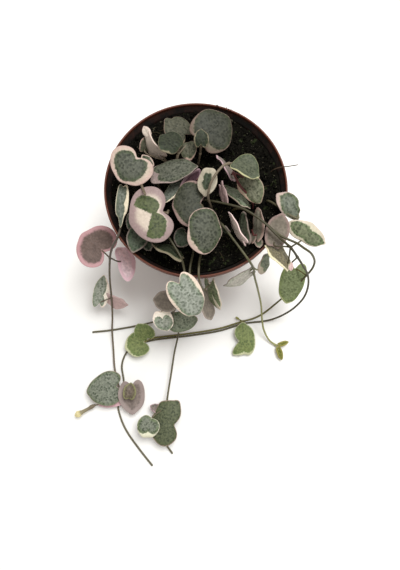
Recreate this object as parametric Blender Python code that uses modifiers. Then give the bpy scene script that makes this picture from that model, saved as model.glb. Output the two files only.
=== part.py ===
"""Potted string of hearts: a variegated trailing plant in a small terracotta-coloured plastic pot.

The pot stands on its flat base. Soil fills it, and every leafy stem stands in a plain hole in the
soil. Some stems stay in the pot, and others bend over the rim, hang beside the pot and lie along
the table. Each leafy stem is one solid: the stem, its leaf stalks and its heart-shaped leaves.

The frame has its origin at the centre of the pot's base, with +Z up. The front of the pot, where
the long stems lie, is towards -Y. Lengths in the tables are millimetres.
"""
import math

import bmesh
import bpy
from mathutils import Vector

MM = 0.001

# Points closer than this are one point: on a plain shape, and on a joined or cut one
WELD = 0.01
FINE_WELD = 0.001

# Pot: a turned shell with a rolled rim and drain holes
POT_HEIGHT = 70.0
RIM_RADIUS = 42.5
BASE_RADIUS = 30.0
WALL = 1.0
FLOOR = 1.6
RIM_BAND = 3.5
RIM_OVERHANG = 1.7
EDGE = 0.3
POT_SEGMENTS = 36
DRAIN_COUNT = 6
DRAIN_RADIUS = 3.5
DRAIN_CIRCLE = 21.0

# Soil: fills the pot up to a little below the rim
SOIL_TOP = 65.0
SOIL_BUMP = 0.5
SOIL_RINGS = 5
SOIL_SIDE_GAP = 0.4
GAP = 0.3
HOLE_DEPTH = 6.0
HOLE_SIDES = 6

# Stems: each runs on past its last route point, so that the stalks there start inside it
STEM_RADIUS = 0.45
STEM_SIDES = 6
STEM_STEP = 7.0
STEM_OVERRUN = 0.5
WIRE_RADIUS = 0.35
WIRE_STEP = 4.0

# Leaf stalks: each leaves its stem a little upwards and comes to the leaf from below
STALK_RADIUS = 0.4
STALK_SIDES = 4
STALK_STEP = 4.5
STALK_LIFT = 0.15
STALK_DROP = 0.12
STALK_INSIDE = 1.5

# Leaf blades: a thickened disc with one inner ring
LEAF_THICKNESS = 1.0
LEAF_SEGMENTS = 12
INNER_RING = 0.55

# Heart outline, as shares of the leaf's half length
NOTCH_DEPTH = 0.5
NOTCH_WIDTH = 0.42
TIP_POINT = 0.10
TIP_WIDTH = 0.25

# Flower: a narrow faded tube, wider at the mouth, on a stalk that is bowed outwards
FLOWER_NECK = 0.9
FLOWER_MOUTH = 1.8
FLOWER_SIDES = 10
FLOWER_BOW = (0.0, -1.0, 1.2)
FLOWER_INSIDE = 1.0

# Looks: edges bent by more than this many degrees stay sharp
SHARP_ANGLE = 35.0
PLASTIC_COLOUR = (0.17, 0.05, 0.03)
SOIL_COLOUR = (0.03, 0.025, 0.018)
LEAF_COLOUR = (0.3, 0.34, 0.26)
WIRE_COLOUR = (0.16, 0.12, 0.07)


def leaf(joint, base, tip, width, roll=0.0, curl=0.0, arch=0.06, notch=NOTCH_DEPTH, bulges=()):
    """One leaf: the route point it grows from, where its stalk meets the notch, and its tip.

    roll turns the blade about its own length, away from lying flat, in degrees. curl is how far
    the blade bends across its width, edges up, in degrees, and arch is the rise of its middle as
    a share of its length. notch is the notch's depth as a share of the half length. Each bulge is
    (compass angle, spread, share): the edge reaches further out there by that share, or less far.
    """
    return {"joint": joint, "base": base, "tip": tip, "width": width, "roll": roll, "curl": curl,
            "arch": arch, "notch": notch, "bulges": bulges}


# Each stem: where it leaves the soil, the points it passes through, and its leaves
STEMS = {
    "stem_left_heart": {
        "root": (-17, 1),
        "route": [(-18, 1.5, 71), (-20.5, 2.5, 76), (-23.5, -0.5, 79), (-23.4, -4, 82.6),
                  (-22.4, -7, 85.6), (-21, -10.6, 87.8)],
        "leaves": [
            leaf(2, (-25, 6.9, 85.4), (-32.8, -3.4, 84.4), 19.6, -10, -20),
            leaf(1, (-20.4, 6.5, 78), (-23.9, 11.3, 79), 5),
            leaf(1, (-20.4, 1.4, 77), (0.8, 6.2, 79), 13, -20, -20, notch=0.1),
        ],
    },
    "stem_left_broad": {
        "root": (-13, -11),
        "route": [(-12.8, -12, 71), (-12, -14, 77), (-12.2, -16.4, 81)],
        "leaves": [
            leaf(2, (-13.8, -16.4, 83.2), (-28.4, -20.7, 82.2), 25, -5, -16),
        ],
    },
    "stem_left_back": {
        "root": (-11.5, 9.5),
        "route": [(-12, 10, 69), (-13, 11, 71)],
        "leaves": [
            leaf(1, (-16.5, 14.5, 72.5), (-21.8, 25.6, 76.5), 13, -75, 0, 0.2),
            leaf(1, (-24.1, 17.5, 71.5), (-23.9, 22.3, 74), 6, 50),
            leaf(1, (-21.5, 22.1, 77), (-23.7, 25.7, 78), 4, -30),
        ],
    },
    "stem_back_left": {
        "root": (-9.5, 7.5),
        "route": [(-9.5, 8.5, 70), (-8.3, 13, 75)],
        "leaves": [
            leaf(1, (-7.4, 14.2, 79), (-16, 20, 80), 13.5, 20, -15, notch=0.15),
            leaf(1, (-3.5, 19.2, 75.5), (-2.6, 10.8, 74.5), 8, 20, 20, notch=0.2),
            leaf(1, (-5.1, 24.7, 72), (-14.6, 31.1, 74.5), 15, 20, -15, bulges=[(125, 12, -0.16)]),
        ],
    },
    "stem_back_right": {
        "root": (1, 12.5),
        "route": [(1.3, 13, 69), (2, 14.5, 74)],
        "leaves": [
            leaf(1, (3.5, 20.5, 77), (15.3, 31.9, 75), 20, 18, -20, bulges=[(240, 20, -0.12)]),
            leaf(1, (2.3, 15.6, 80), (2.5, 22.2, 82), 7, 10, 60),
        ],
    },
    "stem_middle_back": {
        "root": (1.5, 5.5),
        "route": [(1.7, 5.2, 69), (2.4, 4.4, 72), (3.8, 3.5, 79), (4.6, 2.2, 83.5)],
        "leaves": [
            leaf(1, (1.4, 3.8, 72.3), (-7.2, -6.6, 72), 12, 120, -15),
            leaf(1, (-2.6, 4.8, 72.5), (-15.9, -9.3, 71.5), 6.5, 10),
            leaf(3, (6.2, 1.9, 86), (4, -10.3, 84), 8.6, 15, -15, notch=0.1),
        ],
    },
    "stem_middle_front": {
        "root": (3, -20.5),
        "route": [(3, -21, 71), (1, -22.8, 77), (-1.5, -24.2, 82)],
        "leaves": [
            leaf(0, (2.3, -12, 81), (-10.3, -12.6, 79.5), 21.5, 0, -20),
            leaf(2, (-3.1, -25.3, 86), (11.2, -25.6, 82), 19.5, 12, -18, 0.12, notch=0.12),
            leaf(0, (-4.3, -21.6, 69), (-8.4, -27.8, 67.6), 9),
        ],
    },
    "stem_right_arch": {
        "root": (7.5, -12.5),
        "route": [(7.4, -12.6, 72), (6.4, -12.4, 80), (5.3, -10.9, 86.5), (6.1, -7.2, 89.3),
                  (7.5, -4.5, 90.4), (9.6, -1.5, 91), (11.9, 0.9, 91), (14, 2, 90.2)],
        "leaves": [
            leaf(7, (15, 3.2, 89), (26.8, -2.8, 87), 15.5, -29, 76, 0.03, notch=0.1,
                 bulges=[(125, 28, -0.2)]),
        ],
    },
    "stem_right_red": {
        "root": (26.5, -8.5),
        "route": [(26, -8, 70), (24.5, -6.8, 75), (21.6, -5.3, 78), (18.9, -3, 80.5), (16.5, 2.1, 81)],
        "leaves": [
            leaf(4, (21.2, 0.8, 79), (28.7, -10.4, 77), 12, 38, notch=0.3, bulges=[(225, 35, -0.25)]),
            leaf(4, (16.2, 2.4, 76), (9.2, 12.1, 77), 12, 64),
        ],
    },
    "stem_right_narrow": {
        "root": (12, 0.5),
        "route": [(12, 0.3, 69), (12, -0.8, 72)],
        "leaves": [
            leaf(1, (11.4, -1.2, 74), (14.7, -10, 74), 7.5, 76),
            leaf(1, (14.2, -1.9, 72), (24.7, -11.2, 71), 8.5, -40),
        ],
    },
    "stem_front_right": {
        "root": (20.5, -24),
        "route": [(20.8, -24.5, 69), (21.8, -26.2, 70.5)],
        "leaves": [
            leaf(1, (21.2, -26.2, 73), (14.9, -13.3, 74), 12, -90, 0, 0.04),
            leaf(1, (22.5, -25.8, 71), (21.6, -12.2, 71.5), 8.5, -64),
        ],
    },
    "stem_right_edge": {
        "root": (25.8, -20),
        "route": [(25.8, -20.3, 68), (26.4, -23, 69.5)],
        "leaves": [
            leaf(1, (27.3, -24.7, 71), (28, -10.5, 71.5), 7.5, 130),
            leaf(1, (28.2, -25, 69), (29, -28.8, 69), 4),
        ],
    },
    "stem_right_back": {
        "root": (33, -6),
        "route": [(33.3, -6.4, 69), (36.5, -9.5, 71.8), (41, -13.3, 71.7), (46, -15.6, 70.8)],
        "leaves": [
            leaf(3, (47.4, -13.1, 69.5), (36.3, -5.1, 74.2), 10.5, 0, -15, notch=0.2,
                 bulges=[(10, 30, -0.35), (309, 10, 0.12)]),
        ],
    },
    "stem_left_soil": {
        "root": (-25.5, -17),
        "route": [(-25.5, -17.3, 68.5), (-25.8, -18.5, 70)],
        "leaves": [
            leaf(1, (-24.8, -20.5, 71), (-27.8, -32, 73), 10),
            leaf(1, (-29.5, -19, 69.3), (-29.8, -11.7, 69.8), 4.5),
            leaf(0, (-22.7, -26, 68.4), (-20.5, -30, 68), 4.5),
        ],
    },
    "trail_left": {
        "root": (-33, -12),
        "route": [(-33, -13, 69.5), (-33.5, -18, 71.3), (-34.6, -24.5, 72.8), (-38.5, -27.3, 65),
                  (-42.2, -29.4, 52), (-45.5, -36, 35), (-47.2, -44.5, 20), (-48.5, -54, 9),
                  (-49.1, -61.5, 5.5), (-48.5, -72, 3), (-47.5, -83, 2.2), (-45, -92, 2.6),
                  (-43, -96.5, 3.5)],
        "leaves": [
            leaf(0, (-31.8, -3.2, 78.5), (-33.5, -21.6, 74.5), 6, -10, 90, notch=0.25,
                 bulges=[(305, 25, -0.25), (235, 25, -0.25)]),
            leaf(4, (-45.4, -26.1, 50), (-56.4, -17.7, 54), 22.5, 175, -25),
            leaf(4, (-39.6, -30, 46), (-31, -28, 43), 20.5, 170, 60, notch=0.2),
            leaf(6, (-54.8, -46.7, 16), (-51.4, -31.9, 22), 9, 20, 20),
            leaf(6, (-49.2, -44.4, 17), (-38.4, -48, 17), 11, 58, 20),
            leaf(12, (-45.3, -93.1, 6.5), (-62, -96, 7.5), 19.5, 0, -20,
                 bulges=[(135, 30, -0.12)]),
            leaf(12, (-36.9, -92.4, 7), (-35.8, -108.6, 5.5), 15, 170, -15),
            leaf(12, (-37.5, -99.4, 10.5), (-36.5, -90.7, 11), 7.5, 0, 60, notch=0.3),
            leaf(12, (-44.1, -101.6, 4), (-56.1, -103.3, 3.5), 5, 0, -15),
        ],
        "flower": {"joint": 12, "neck": (-57.7, -103.5, 3.5), "mouth": (-67.6, -108.9, 4)},
    },
    "trail_front_left": {
        "root": (-15, -20),
        "route": [(-14.6, -20.5, 70), (-12.5, -24.5, 75), (-6.6, -34.3, 75), (-5.2, -38.6, 73),
                  (-5, -41.6, 72.2), (-6.3, -44.3, 69), (-7.8, -45.5, 60), (-8.6, -47, 45),
                  (-9, -51, 30), (-9.5, -57, 18), (-10.6, -64.5, 9.5), (-12.8, -74, 6),
                  (-14.6, -86, 5), (-16.2, -97, 6), (-17, -104, 6), (-18, -114, 4.5),
                  (-18.2, -123, 2.5), (-13.8, -130, 1)],
        "leaves": [
            leaf(2, (-7.4, -33.7, 73.5), (-19.3, -28.5, 74), 12, 58),
            leaf(14, (-12.2, -113.7, 9), (-25.7, -110.8, 7), 25, 0, -14,
                 bulges=[(55, 14, 0.12), (120, 16, 0.08)]),
            leaf(14, (-24.5, -109.8, 11), (-29.3, -120.2, 10), 12.5, 0, 20, notch=0.25),
            leaf(14, (-20.6, -106, 6), (-26.3, -103.9, 5), 5.5, 30),
        ],
    },
    "trail_front": {
        "root": (-0.5, -27),
        "route": [(-0.7, -28, 68), (-1.6, -33.7, 71), (-2.5, -38.6, 72.4), (-2.7, -41.6, 72.2),
                  (-3.3, -44.8, 69), (-5, -46.8, 62), (-8.5, -50.5, 48), (-11.3, -53.5, 38),
                  (-16.5, -56, 24), (-21, -56.2, 12), (-26, -56.6, 5), (-36.4, -58.5, 1.2),
                  (-50.1, -60.8, 0.9), (-61.3, -62, 0.9)],
        "leaves": [
            leaf(3, (-7.2, -46, 74), (1.4, -58.3, 61), 15, 0, -20),
            leaf(6, (-11.7, -50, 42), (-22.3, -48.2, 40), 11, 160),
            leaf(7, (-18.7, -53.6, 36), (-14.8, -63.6, 32), 10.5, 10, notch=0.25),
            leaf(7, (-12.6, -59.2, 30), (0.8, -57, 29), 12, 30, -15),
        ],
    },
    "trail_front_short": {
        "root": (3.5, -26.5),
        "route": [(3.2, -28, 68), (1.7, -35, 71), (1.3, -41.4, 72.3), (1.9, -44.8, 69), (3.4, -46.6, 60)],
        "leaves": [
            leaf(4, (5, -45.9, 55), (8.2, -58.8, 42), 12, 132),
            leaf(4, (6.8, -43.2, 58), (11.6, -54.1, 45), 9, 58),
        ],
    },
    "trail_right_front": {
        "root": (9, -15.5),
        "route": [(9.4, -16, 70), (11.8, -19, 72.5), (17.8, -27.8, 74), (23.4, -35.4, 73),
                  (26.2, -37.5, 66), (27.9, -38.6, 55), (32, -42.5, 36), (35.7, -48.4, 20),
                  (37.3, -55.5, 11), (39, -61.5, 6), (42.5, -67, 2.5), (46.5, -69.8, 1.6)],
        "leaves": [
            leaf(4, (29.2, -37.3, 60), (35.3, -29.1, 56), 10, 60, notch=0.1),
            leaf(4, (25.4, -38, 59), (13.1, -44, 56), 11.5, -74),
            leaf(1, (12.8, -20, 71.5), (15.6, -22.6, 70.5), 5, 80),
            leaf(11, (47.5, -69.7, 2.6), (53.6, -67.8, 3.4), 3, 0, 120, 0, notch=0.2),
            leaf(11, (47.2, -70.8, 2.6), (49.4, -78.3, 2.6), 3.8, 0, 110, 0, notch=0.2),
        ],
    },
    "trail_right_long": {
        "root": (1.5, -6),
        "route": [(2, -6.5, 70), (5, -8.2, 74.5), (13, -10.5, 76.5), (20.8, -13.4, 78),
                  (28.3, -18.8, 79), (36.5, -26.7, 78), (41.7, -30, 74.5), (46, -32.7, 68),
                  (50, -35.2, 61), (54, -37.8, 53), (56.5, -41.6, 43), (56.5, -46, 33),
                  (54, -49.8, 22), (50, -52.6, 12), (44.8, -54.6, 4.5), (39, -55.7, 1.4),
                  (33.5, -56.2, 0.9), (27.4, -57, 0.9), (13.7, -61.2, 0.9), (-4, -64.1, 0.9),
                  (-24.6, -66.6, 0.9), (-33, -68.8, 0.9), (-40.3, -72.8, 0.9), (-43.6, -81, 0.9),
                  (-42.3, -91.4, 0.9), (-45.2, -102.6, 0.9), (-43.5, -110.5, 0.9),
                  (-39.5, -118.5, 0.9), (-32, -128.3, 0.9), (-25, -136.5, 0.9)],
        "leaves": [
            leaf(6, (34.2, -29.2, 73.6), (38.3, -15, 77), 10.5, 180, -10, notch=0.2),
            leaf(6, (41.4, -37, 69.5), (30.5, -28.7, 73), 14, 45, 15, notch=0.3),
            leaf(6, (47.1, -26.3, 71.5), (51.4, -19, 75.5), 17.8, 0, -10, notch=0.15,
                 bulges=[(330, 12, 0.12)]),
            leaf(7, (42.8, -35.5, 67), (43.3, -38.8, 66), 2.6, 0, 60),
            leaf(17, (27.4, -75.1, 3), (27, -56.4, 4.5), 14, 0, -15, notch=0.2,
                 bulges=[(183, 26, -0.6), (219, 14, 0.35)]),
        ],
    },
    "trail_right_twin": {
        "root": (17, -10.8),
        "route": [(17, -11.2, 70), (18.6, -11.8, 74), (21.2, -13, 76.4), (28.5, -18.3, 77.5),
                  (36.9, -25.5, 77.6), (43.7, -29, 78), (47.3, -30.3, 75), (51.2, -31.4, 71),
                  (54.3, -32.2, 64.5), (56.3, -33, 58), (56.9, -34.4, 51), (56.2, -36, 42),
                  (53.5, -39.5, 29), (49.5, -43, 16), (44.5, -47.2, 7), (39.5, -51, 2.6),
                  (34, -53.8, 1.2), (27.1, -55.7, 0.9), (13.3, -59.9, 0.9), (-4.2, -62.8, 0.9),
                  (-23, -65.1, 0.9), (-26.3, -65.8, 3)],
        "leaves": [
            leaf(11, (51.2, -31.6, 38), (48.3, -48.6, 26), 13, 0, -18, notch=0.4, bulges=[(35, 20, 0.18)]),
            leaf(17, (24.8, -54.5, 2), (22.9, -53.2, 3), 1.3, 0, 0, 0, notch=0.2),
            leaf(21, (-28.6, -65.8, 4), (-34.4, -57.7, 6.5), 12, -12, -15),
            leaf(21, (-30.6, -68, 4), (-41.4, -72, 5.5), 15, 8, -15),
        ],
    },
}

# A bare, wiry stem end that lies over the rim on the right
WIRE_ROOT = (35.5, 9)
WIRE_ROUTE = [(36.5, 9, 69), (39.3, 9.2, 71), (42.5, 9.4, 71.4), (46.8, 9.8, 72.2)]


def clear_scene():
    """Remove whatever the scene holds."""
    for item in list(bpy.data.objects):
        bpy.data.objects.remove(item)


def make_collection(name):
    """Add a collection to the scene."""
    group = bpy.data.collections.new(name)
    bpy.context.scene.collection.children.link(group)
    return group


def make_material(name, colour, roughness):
    """A plain material of one colour."""
    material = bpy.data.materials.new(name)
    material.use_nodes = True
    shader = material.node_tree.nodes["Principled BSDF"]
    shader.inputs["Base Color"].default_value = (*colour, 1.0)
    shader.inputs["Roughness"].default_value = roughness
    shader.inputs["Metallic"].default_value = 0.0
    return material


def finish(item, colour, roughness):
    """Give a part its own material and shade its round stretches smooth."""
    item.data.materials.clear()
    item.data.materials.append(make_material(item.name, colour, roughness))
    item.data.shade_smooth()
    item.data.set_sharp_from_angle(angle=math.radians(SHARP_ANGLE))


def add_object(name, data, group):
    """Put a mesh or a curve in the scene as an object of the given collection."""
    item = bpy.data.objects.new(name, data)
    group.objects.link(item)
    return item


def bake(item, weld=WELD):
    """Replace an object by its evaluated mesh, with its loose caps welded."""
    bpy.context.view_layer.update()
    graph = bpy.context.evaluated_depsgraph_get()
    mesh = bpy.data.meshes.new_from_object(item.evaluated_get(graph))
    shape = bmesh.new()
    shape.from_mesh(mesh)
    bmesh.ops.remove_doubles(shape, verts=shape.verts, dist=weld * MM)
    shape.to_mesh(mesh)
    shape.free()
    name = item.name
    group = item.users_collection[0]
    place = item.matrix_world.copy()
    bpy.data.objects.remove(item)
    solid = add_object(name, mesh, group)
    solid.matrix_world = place
    return solid


def turned(name, profile, segments, group):
    """Turn a profile of (radius, height) points about Z with a Screw modifier."""
    mesh = bpy.data.meshes.new(name)
    points = [(radius * MM, 0.0, height * MM) for radius, height in profile]
    edges = [(i, i + 1) for i in range(len(points) - 1)]
    mesh.from_pydata(points, edges, [])
    item = add_object(name, mesh, group)
    screw = item.modifiers.new("turn", "SCREW")
    screw.steps = segments
    screw.render_steps = segments
    screw.use_merge_vertices = True
    screw.merge_threshold = 0.00001
    return bake(item)


def boolean(item, tools, operation, solver="EXACT"):
    """Join a collection of tools to a solid, or cut them from it, and keep the result."""
    modifier = item.modifiers.new(operation.lower(), "BOOLEAN")
    modifier.operation = operation
    modifier.operand_type = "COLLECTION"
    modifier.collection = tools
    modifier.solver = solver
    return bake(item, FINE_WELD)


def smooth_path(points, step):
    """Points along a smooth curve through the given ones, about one step apart."""
    knots = [Vector(p) for p in points]
    ends = [2 * knots[0] - knots[1]] + knots + [2 * knots[-1] - knots[-2]]
    path = [knots[0]]
    for before, start, stop, after in zip(ends, ends[1:], ends[2:], ends[3:]):
        length = (stop - start).length
        pull_out = (stop - before) / ((stop - start).length + (start - before).length) * length
        pull_in = (after - start) / ((after - stop).length + (stop - start).length) * length
        count = max(1, round(length / step))
        for i in range(1, count + 1):
            t = i / count
            path.append((2 * t**3 - 3 * t**2 + 1) * start + (t**3 - 2 * t**2 + t) * pull_out
                        + (3 * t**2 - 2 * t**3) * stop + (t**3 - t**2) * pull_in)
    return path


def tube(name, path, radius, sides, group):
    """A closed round tube along a path of millimetre points."""
    data = bpy.data.curves.new(name, "CURVE")
    data.dimensions = "3D"
    data.bevel_depth = radius * MM
    data.bevel_resolution = (sides - 4) // 2
    data.use_fill_caps = True
    spline = data.splines.new("POLY")
    spline.points.add(len(path) - 1)
    for point, place in zip(spline.points, path):
        point.co = (*(place * MM), 1.0)
    return bake(add_object(name, data, group))


def leaf_frame(shape):
    """The leaf's base, its three directions and its length."""
    base = Vector(shape["base"])
    along = Vector(shape["tip"]) - base
    length = along.length
    along.normalize()
    up = Vector((0, 0, 1)) - along.z * along
    up.normalize()
    right = along.cross(up)
    turn = math.radians(shape["roll"])
    normal = math.cos(turn) * up + math.sin(turn) * right
    return base, along, normal.cross(along), normal, length


def heart_outline(shape, angle):
    """Distance from the blade's middle to its edge at an angle from the tip, as a share."""
    back = (math.pi - abs(angle)) / NOTCH_WIDTH
    front = angle / TIP_WIDTH
    outline = 1.0 - shape["notch"] * math.exp(-back * back) + TIP_POINT * math.exp(-front * front)
    _, along, side, _, _ = leaf_frame(shape)
    for compass, spread, extra in shape["bulges"]:
        way = Vector((math.cos(math.radians(compass)), math.sin(math.radians(compass)), 0.0))
        apart = angle - math.atan2(way.dot(side), way.dot(along))
        apart = (apart + math.pi) % (2.0 * math.pi) - math.pi
        outline *= 1.0 + extra * math.exp(-(apart / math.radians(spread)) ** 2)
    return outline


def place_on_leaf(shape, share, angle):
    """A point of the blade's middle surface, at a share of the way out to its edge."""
    base, along, side, normal, length = leaf_frame(shape)
    half = length / (2.0 - shape["notch"] + TIP_POINT)
    reach = share * heart_outline(shape, angle)
    x = half * (1.0 - shape["notch"] + math.cos(angle) * reach)
    y = 0.5 * shape["width"] * math.sin(angle) * reach
    bend = math.radians(shape["curl"]) / shape["width"]
    lift = 4.0 * shape["arch"] * length * (x / length) * (1.0 - x / length)
    if abs(bend) > 1e-6:
        lift += (1.0 - math.cos(bend * y)) / bend
        y = math.sin(bend * y) / bend
    return base + x * along + y * side + lift * normal


def leaf_blade(name, shape, group):
    """A heart-shaped blade: a flat disc drawn out to the leaf's form and thickened."""
    disc = bmesh.new()
    bmesh.ops.create_circle(disc, cap_ends=True, segments=LEAF_SEGMENTS, radius=1.0)
    face = disc.faces[:]
    bmesh.ops.inset_individual(disc, faces=face, thickness=1.0 - INNER_RING, use_even_offset=False)
    bmesh.ops.poke(disc, faces=face)
    bmesh.ops.triangulate(disc, faces=disc.faces)
    for vertex in disc.verts:
        share = vertex.co.to_2d().length
        angle = math.atan2(-vertex.co.x, vertex.co.y)
        vertex.co = place_on_leaf(shape, share, angle) * MM
    mesh = bpy.data.meshes.new(name)
    disc.to_mesh(mesh)
    disc.free()
    item = add_object(name, mesh, group)
    shell = item.modifiers.new("thickness", "SOLIDIFY")
    shell.thickness = LEAF_THICKNESS * MM
    shell.offset = 0.0
    return bake(item)


def stalk_path(joint, shape):
    """A stalk from the stem that bends into the leaf's notch and ends inside the blade."""
    base, along, _, normal, _ = leaf_frame(shape)
    start = Vector(joint)
    end = base + STALK_INSIDE * along
    reach = (end - start).length
    first = start + 0.4 * (end - start) + STALK_LIFT * reach * Vector((0, 0, 1))
    last = end - 0.35 * reach * along - STALK_DROP * reach * normal
    count = max(3, round(1.1 * reach / STALK_STEP))
    path = []
    for i in range(count + 1):
        t = i / count
        path.append((1 - t)**3 * start + 3 * (1 - t)**2 * t * first
                    + 3 * (1 - t) * t**2 * last + t**3 * end)
    return path


def root_points(root):
    """The part of a stem that stands upright in its hole in the soil."""
    x, y = root
    return [(x, y, SOIL_TOP - HOLE_DEPTH + GAP), (x, y, SOIL_TOP + 1.5)]


def make_flower(name, route, flower, group):
    """A faded tube of a flower on a thin stalk, laid along the line from its neck to its mouth."""
    start = Vector(route[flower["joint"]])
    neck = Vector(flower["neck"])
    mouth = Vector(flower["mouth"])
    inside = neck + FLOWER_INSIDE * (mouth - neck).normalized()
    stalk = smooth_path([start, 0.5 * (start + neck) + Vector(FLOWER_BOW), inside], STALK_STEP)
    tube(name + "_flower_stalk", stalk, STALK_RADIUS, STALK_SIDES, group)
    cone = bmesh.new()
    length = (mouth - neck).length
    bmesh.ops.create_cone(cone, cap_ends=True, segments=FLOWER_SIDES, radius1=FLOWER_NECK * MM,
                          radius2=FLOWER_MOUTH * MM, depth=length * MM)
    mesh = bpy.data.meshes.new(name + "_flower")
    cone.to_mesh(mesh)
    cone.free()
    item = add_object(name + "_flower", mesh, group)
    item.location = 0.5 * (neck + mouth) * MM
    item.rotation_mode = "QUATERNION"
    item.rotation_quaternion = (mouth - neck).to_track_quat("Z", "Y")
    return item


def make_stem(name, stem, group):
    """One leafy stem, with its stalks, leaves and flower joined into one solid."""
    path = smooth_path(root_points(stem["root"]) + stem["route"], STEM_STEP)
    path[-1] += STEM_OVERRUN * (path[-1] - path[-2]).normalized()
    solid = tube(name, path, STEM_RADIUS, STEM_SIDES, group)
    pieces = make_collection(name + "_pieces")
    for number, shape in enumerate(stem["leaves"]):
        joint = stem["route"][shape["joint"]]
        tube(f"{name}_stalk_{number}", stalk_path(joint, shape), STALK_RADIUS, STALK_SIDES, pieces)
        leaf_blade(f"{name}_leaf_{number}", shape, pieces)
    if "flower" in stem:
        make_flower(name, stem["route"], stem["flower"], pieces)
    solid = boolean(solid, pieces, "UNION", "MANIFOLD")
    for piece in list(pieces.objects):
        bpy.data.objects.remove(piece)
    bpy.data.collections.remove(pieces)
    finish(solid, LEAF_COLOUR, 0.5)


def pot_profile():
    """The pot's section, from the middle of its floor up inside and down outside."""
    band = POT_HEIGHT - RIM_BAND
    wall_top = RIM_RADIUS - RIM_OVERHANG
    return [(0, FLOOR), (BASE_RADIUS - WALL, FLOOR), (wall_top - WALL, band),
            (RIM_RADIUS - WALL, band + 2.0), (RIM_RADIUS - WALL, POT_HEIGHT - EDGE),
            (RIM_RADIUS - WALL + EDGE, POT_HEIGHT), (RIM_RADIUS - EDGE, POT_HEIGHT),
            (RIM_RADIUS, POT_HEIGHT - EDGE), (RIM_RADIUS, band + EDGE), (RIM_RADIUS - EDGE, band),
            (wall_top, band), (BASE_RADIUS + 0.1, 1.0), (BASE_RADIUS - 0.6, 0), (0, 0)]


def make_drills(group):
    """Cutters for the drain holes in the pot's floor."""
    for i in range(DRAIN_COUNT):
        angle = 2.0 * math.pi * i / DRAIN_COUNT
        place = (DRAIN_CIRCLE * math.cos(angle) * MM, DRAIN_CIRCLE * math.sin(angle) * MM, 0)
        bpy.ops.mesh.primitive_cylinder_add(vertices=16, radius=DRAIN_RADIUS * MM,
                                            depth=4.0 * FLOOR * MM, location=place)
        drill = bpy.context.object
        for owner in list(drill.users_collection):
            owner.objects.unlink(drill)
        group.objects.link(drill)
        drill.hide_render = True
        drill.display_type = "WIRE"


def make_pot(group, cutters):
    """The pot: a turned shell with drain holes round a flat middle."""
    make_drills(cutters)
    pot = turned("pot", pot_profile(), POT_SEGMENTS, group)
    pot = boolean(pot, cutters, "DIFFERENCE")
    finish(pot, PLASTIC_COLOUR, 0.45)


def soil_height(x, y):
    """Low bumps in the soil, in millimetres."""
    return SOIL_BUMP * (math.sin(0.31 * x + 0.8) * math.cos(0.27 * y) + 0.6 * math.sin(0.52 * y - 0.3 * x))


def soil_profile():
    """The soil's section: its top rings, its side and its underside."""
    wall_slope = (RIM_RADIUS - RIM_OVERHANG - BASE_RADIUS) / (POT_HEIGHT - RIM_BAND - FLOOR)
    low = BASE_RADIUS - WALL - SOIL_SIDE_GAP
    top = low + wall_slope * (SOIL_TOP - FLOOR)
    rings = [(top * i / SOIL_RINGS, SOIL_TOP) for i in range(SOIL_RINGS + 1)]
    return rings + [(low + wall_slope * GAP, FLOOR + GAP), (0, FLOOR + GAP)]


def make_holes(roots, group):
    """Cutters for the holes that the stems stand in."""
    for number, (x, y, radius) in enumerate(roots):
        bottom = SOIL_TOP - HOLE_DEPTH
        path = [Vector((x, y, bottom)), Vector((x, y, SOIL_TOP + 4.0))]
        hole = tube(f"hole_{number}", path, (radius + GAP) / math.cos(math.pi / HOLE_SIDES),
                    HOLE_SIDES, group)
        hole.hide_render = True
        hole.display_type = "WIRE"


def make_soil(group, cutters):
    """The soil: a solid plug with a bumpy top and a plain hole for each stem."""
    roots = [(*stem["root"], STEM_RADIUS) for stem in STEMS.values()]
    roots.append((*WIRE_ROOT, WIRE_RADIUS))
    make_holes(roots, cutters)
    soil = turned("soil", soil_profile(), POT_SEGMENTS, group)
    for vertex in soil.data.vertices:
        if vertex.co.z > (SOIL_TOP - 0.1) * MM:
            vertex.co.z += soil_height(vertex.co.x / MM, vertex.co.y / MM) * MM
    soil = boolean(soil, cutters, "DIFFERENCE")
    finish(soil, SOIL_COLOUR, 0.95)


def make_wire(group):
    """The bare stem end that lies over the rim."""
    path = smooth_path(root_points(WIRE_ROOT) + WIRE_ROUTE, WIRE_STEP)
    wire = tube("wiry_stem_end", path, WIRE_RADIUS, STEM_SIDES, group)
    finish(wire, WIRE_COLOUR, 0.6)


def main():
    """Build the pot, the soil and the plant."""
    clear_scene()
    plant = make_collection("potted_string_of_hearts")
    make_pot(plant, make_collection("drain_cutters"))
    make_soil(plant, make_collection("hole_cutters"))
    for name, stem in STEMS.items():
        make_stem(name, stem, plant)
    make_wire(plant)


main()
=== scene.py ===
"""Looks of the potted string of hearts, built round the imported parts.

The tables repeat the routes of the stems and the places of the leaves. Lengths are in millimetres,
in the frame of the parts: the origin is under the middle of the pot, +Z is up, and the long stems
lie towards -Y. Compass angles are in degrees as seen from above, with 0 to the right (+X) and 90
to the back (+Y). Colours are six-digit screen colours.
"""

import math
from typing import NamedTuple

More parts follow.
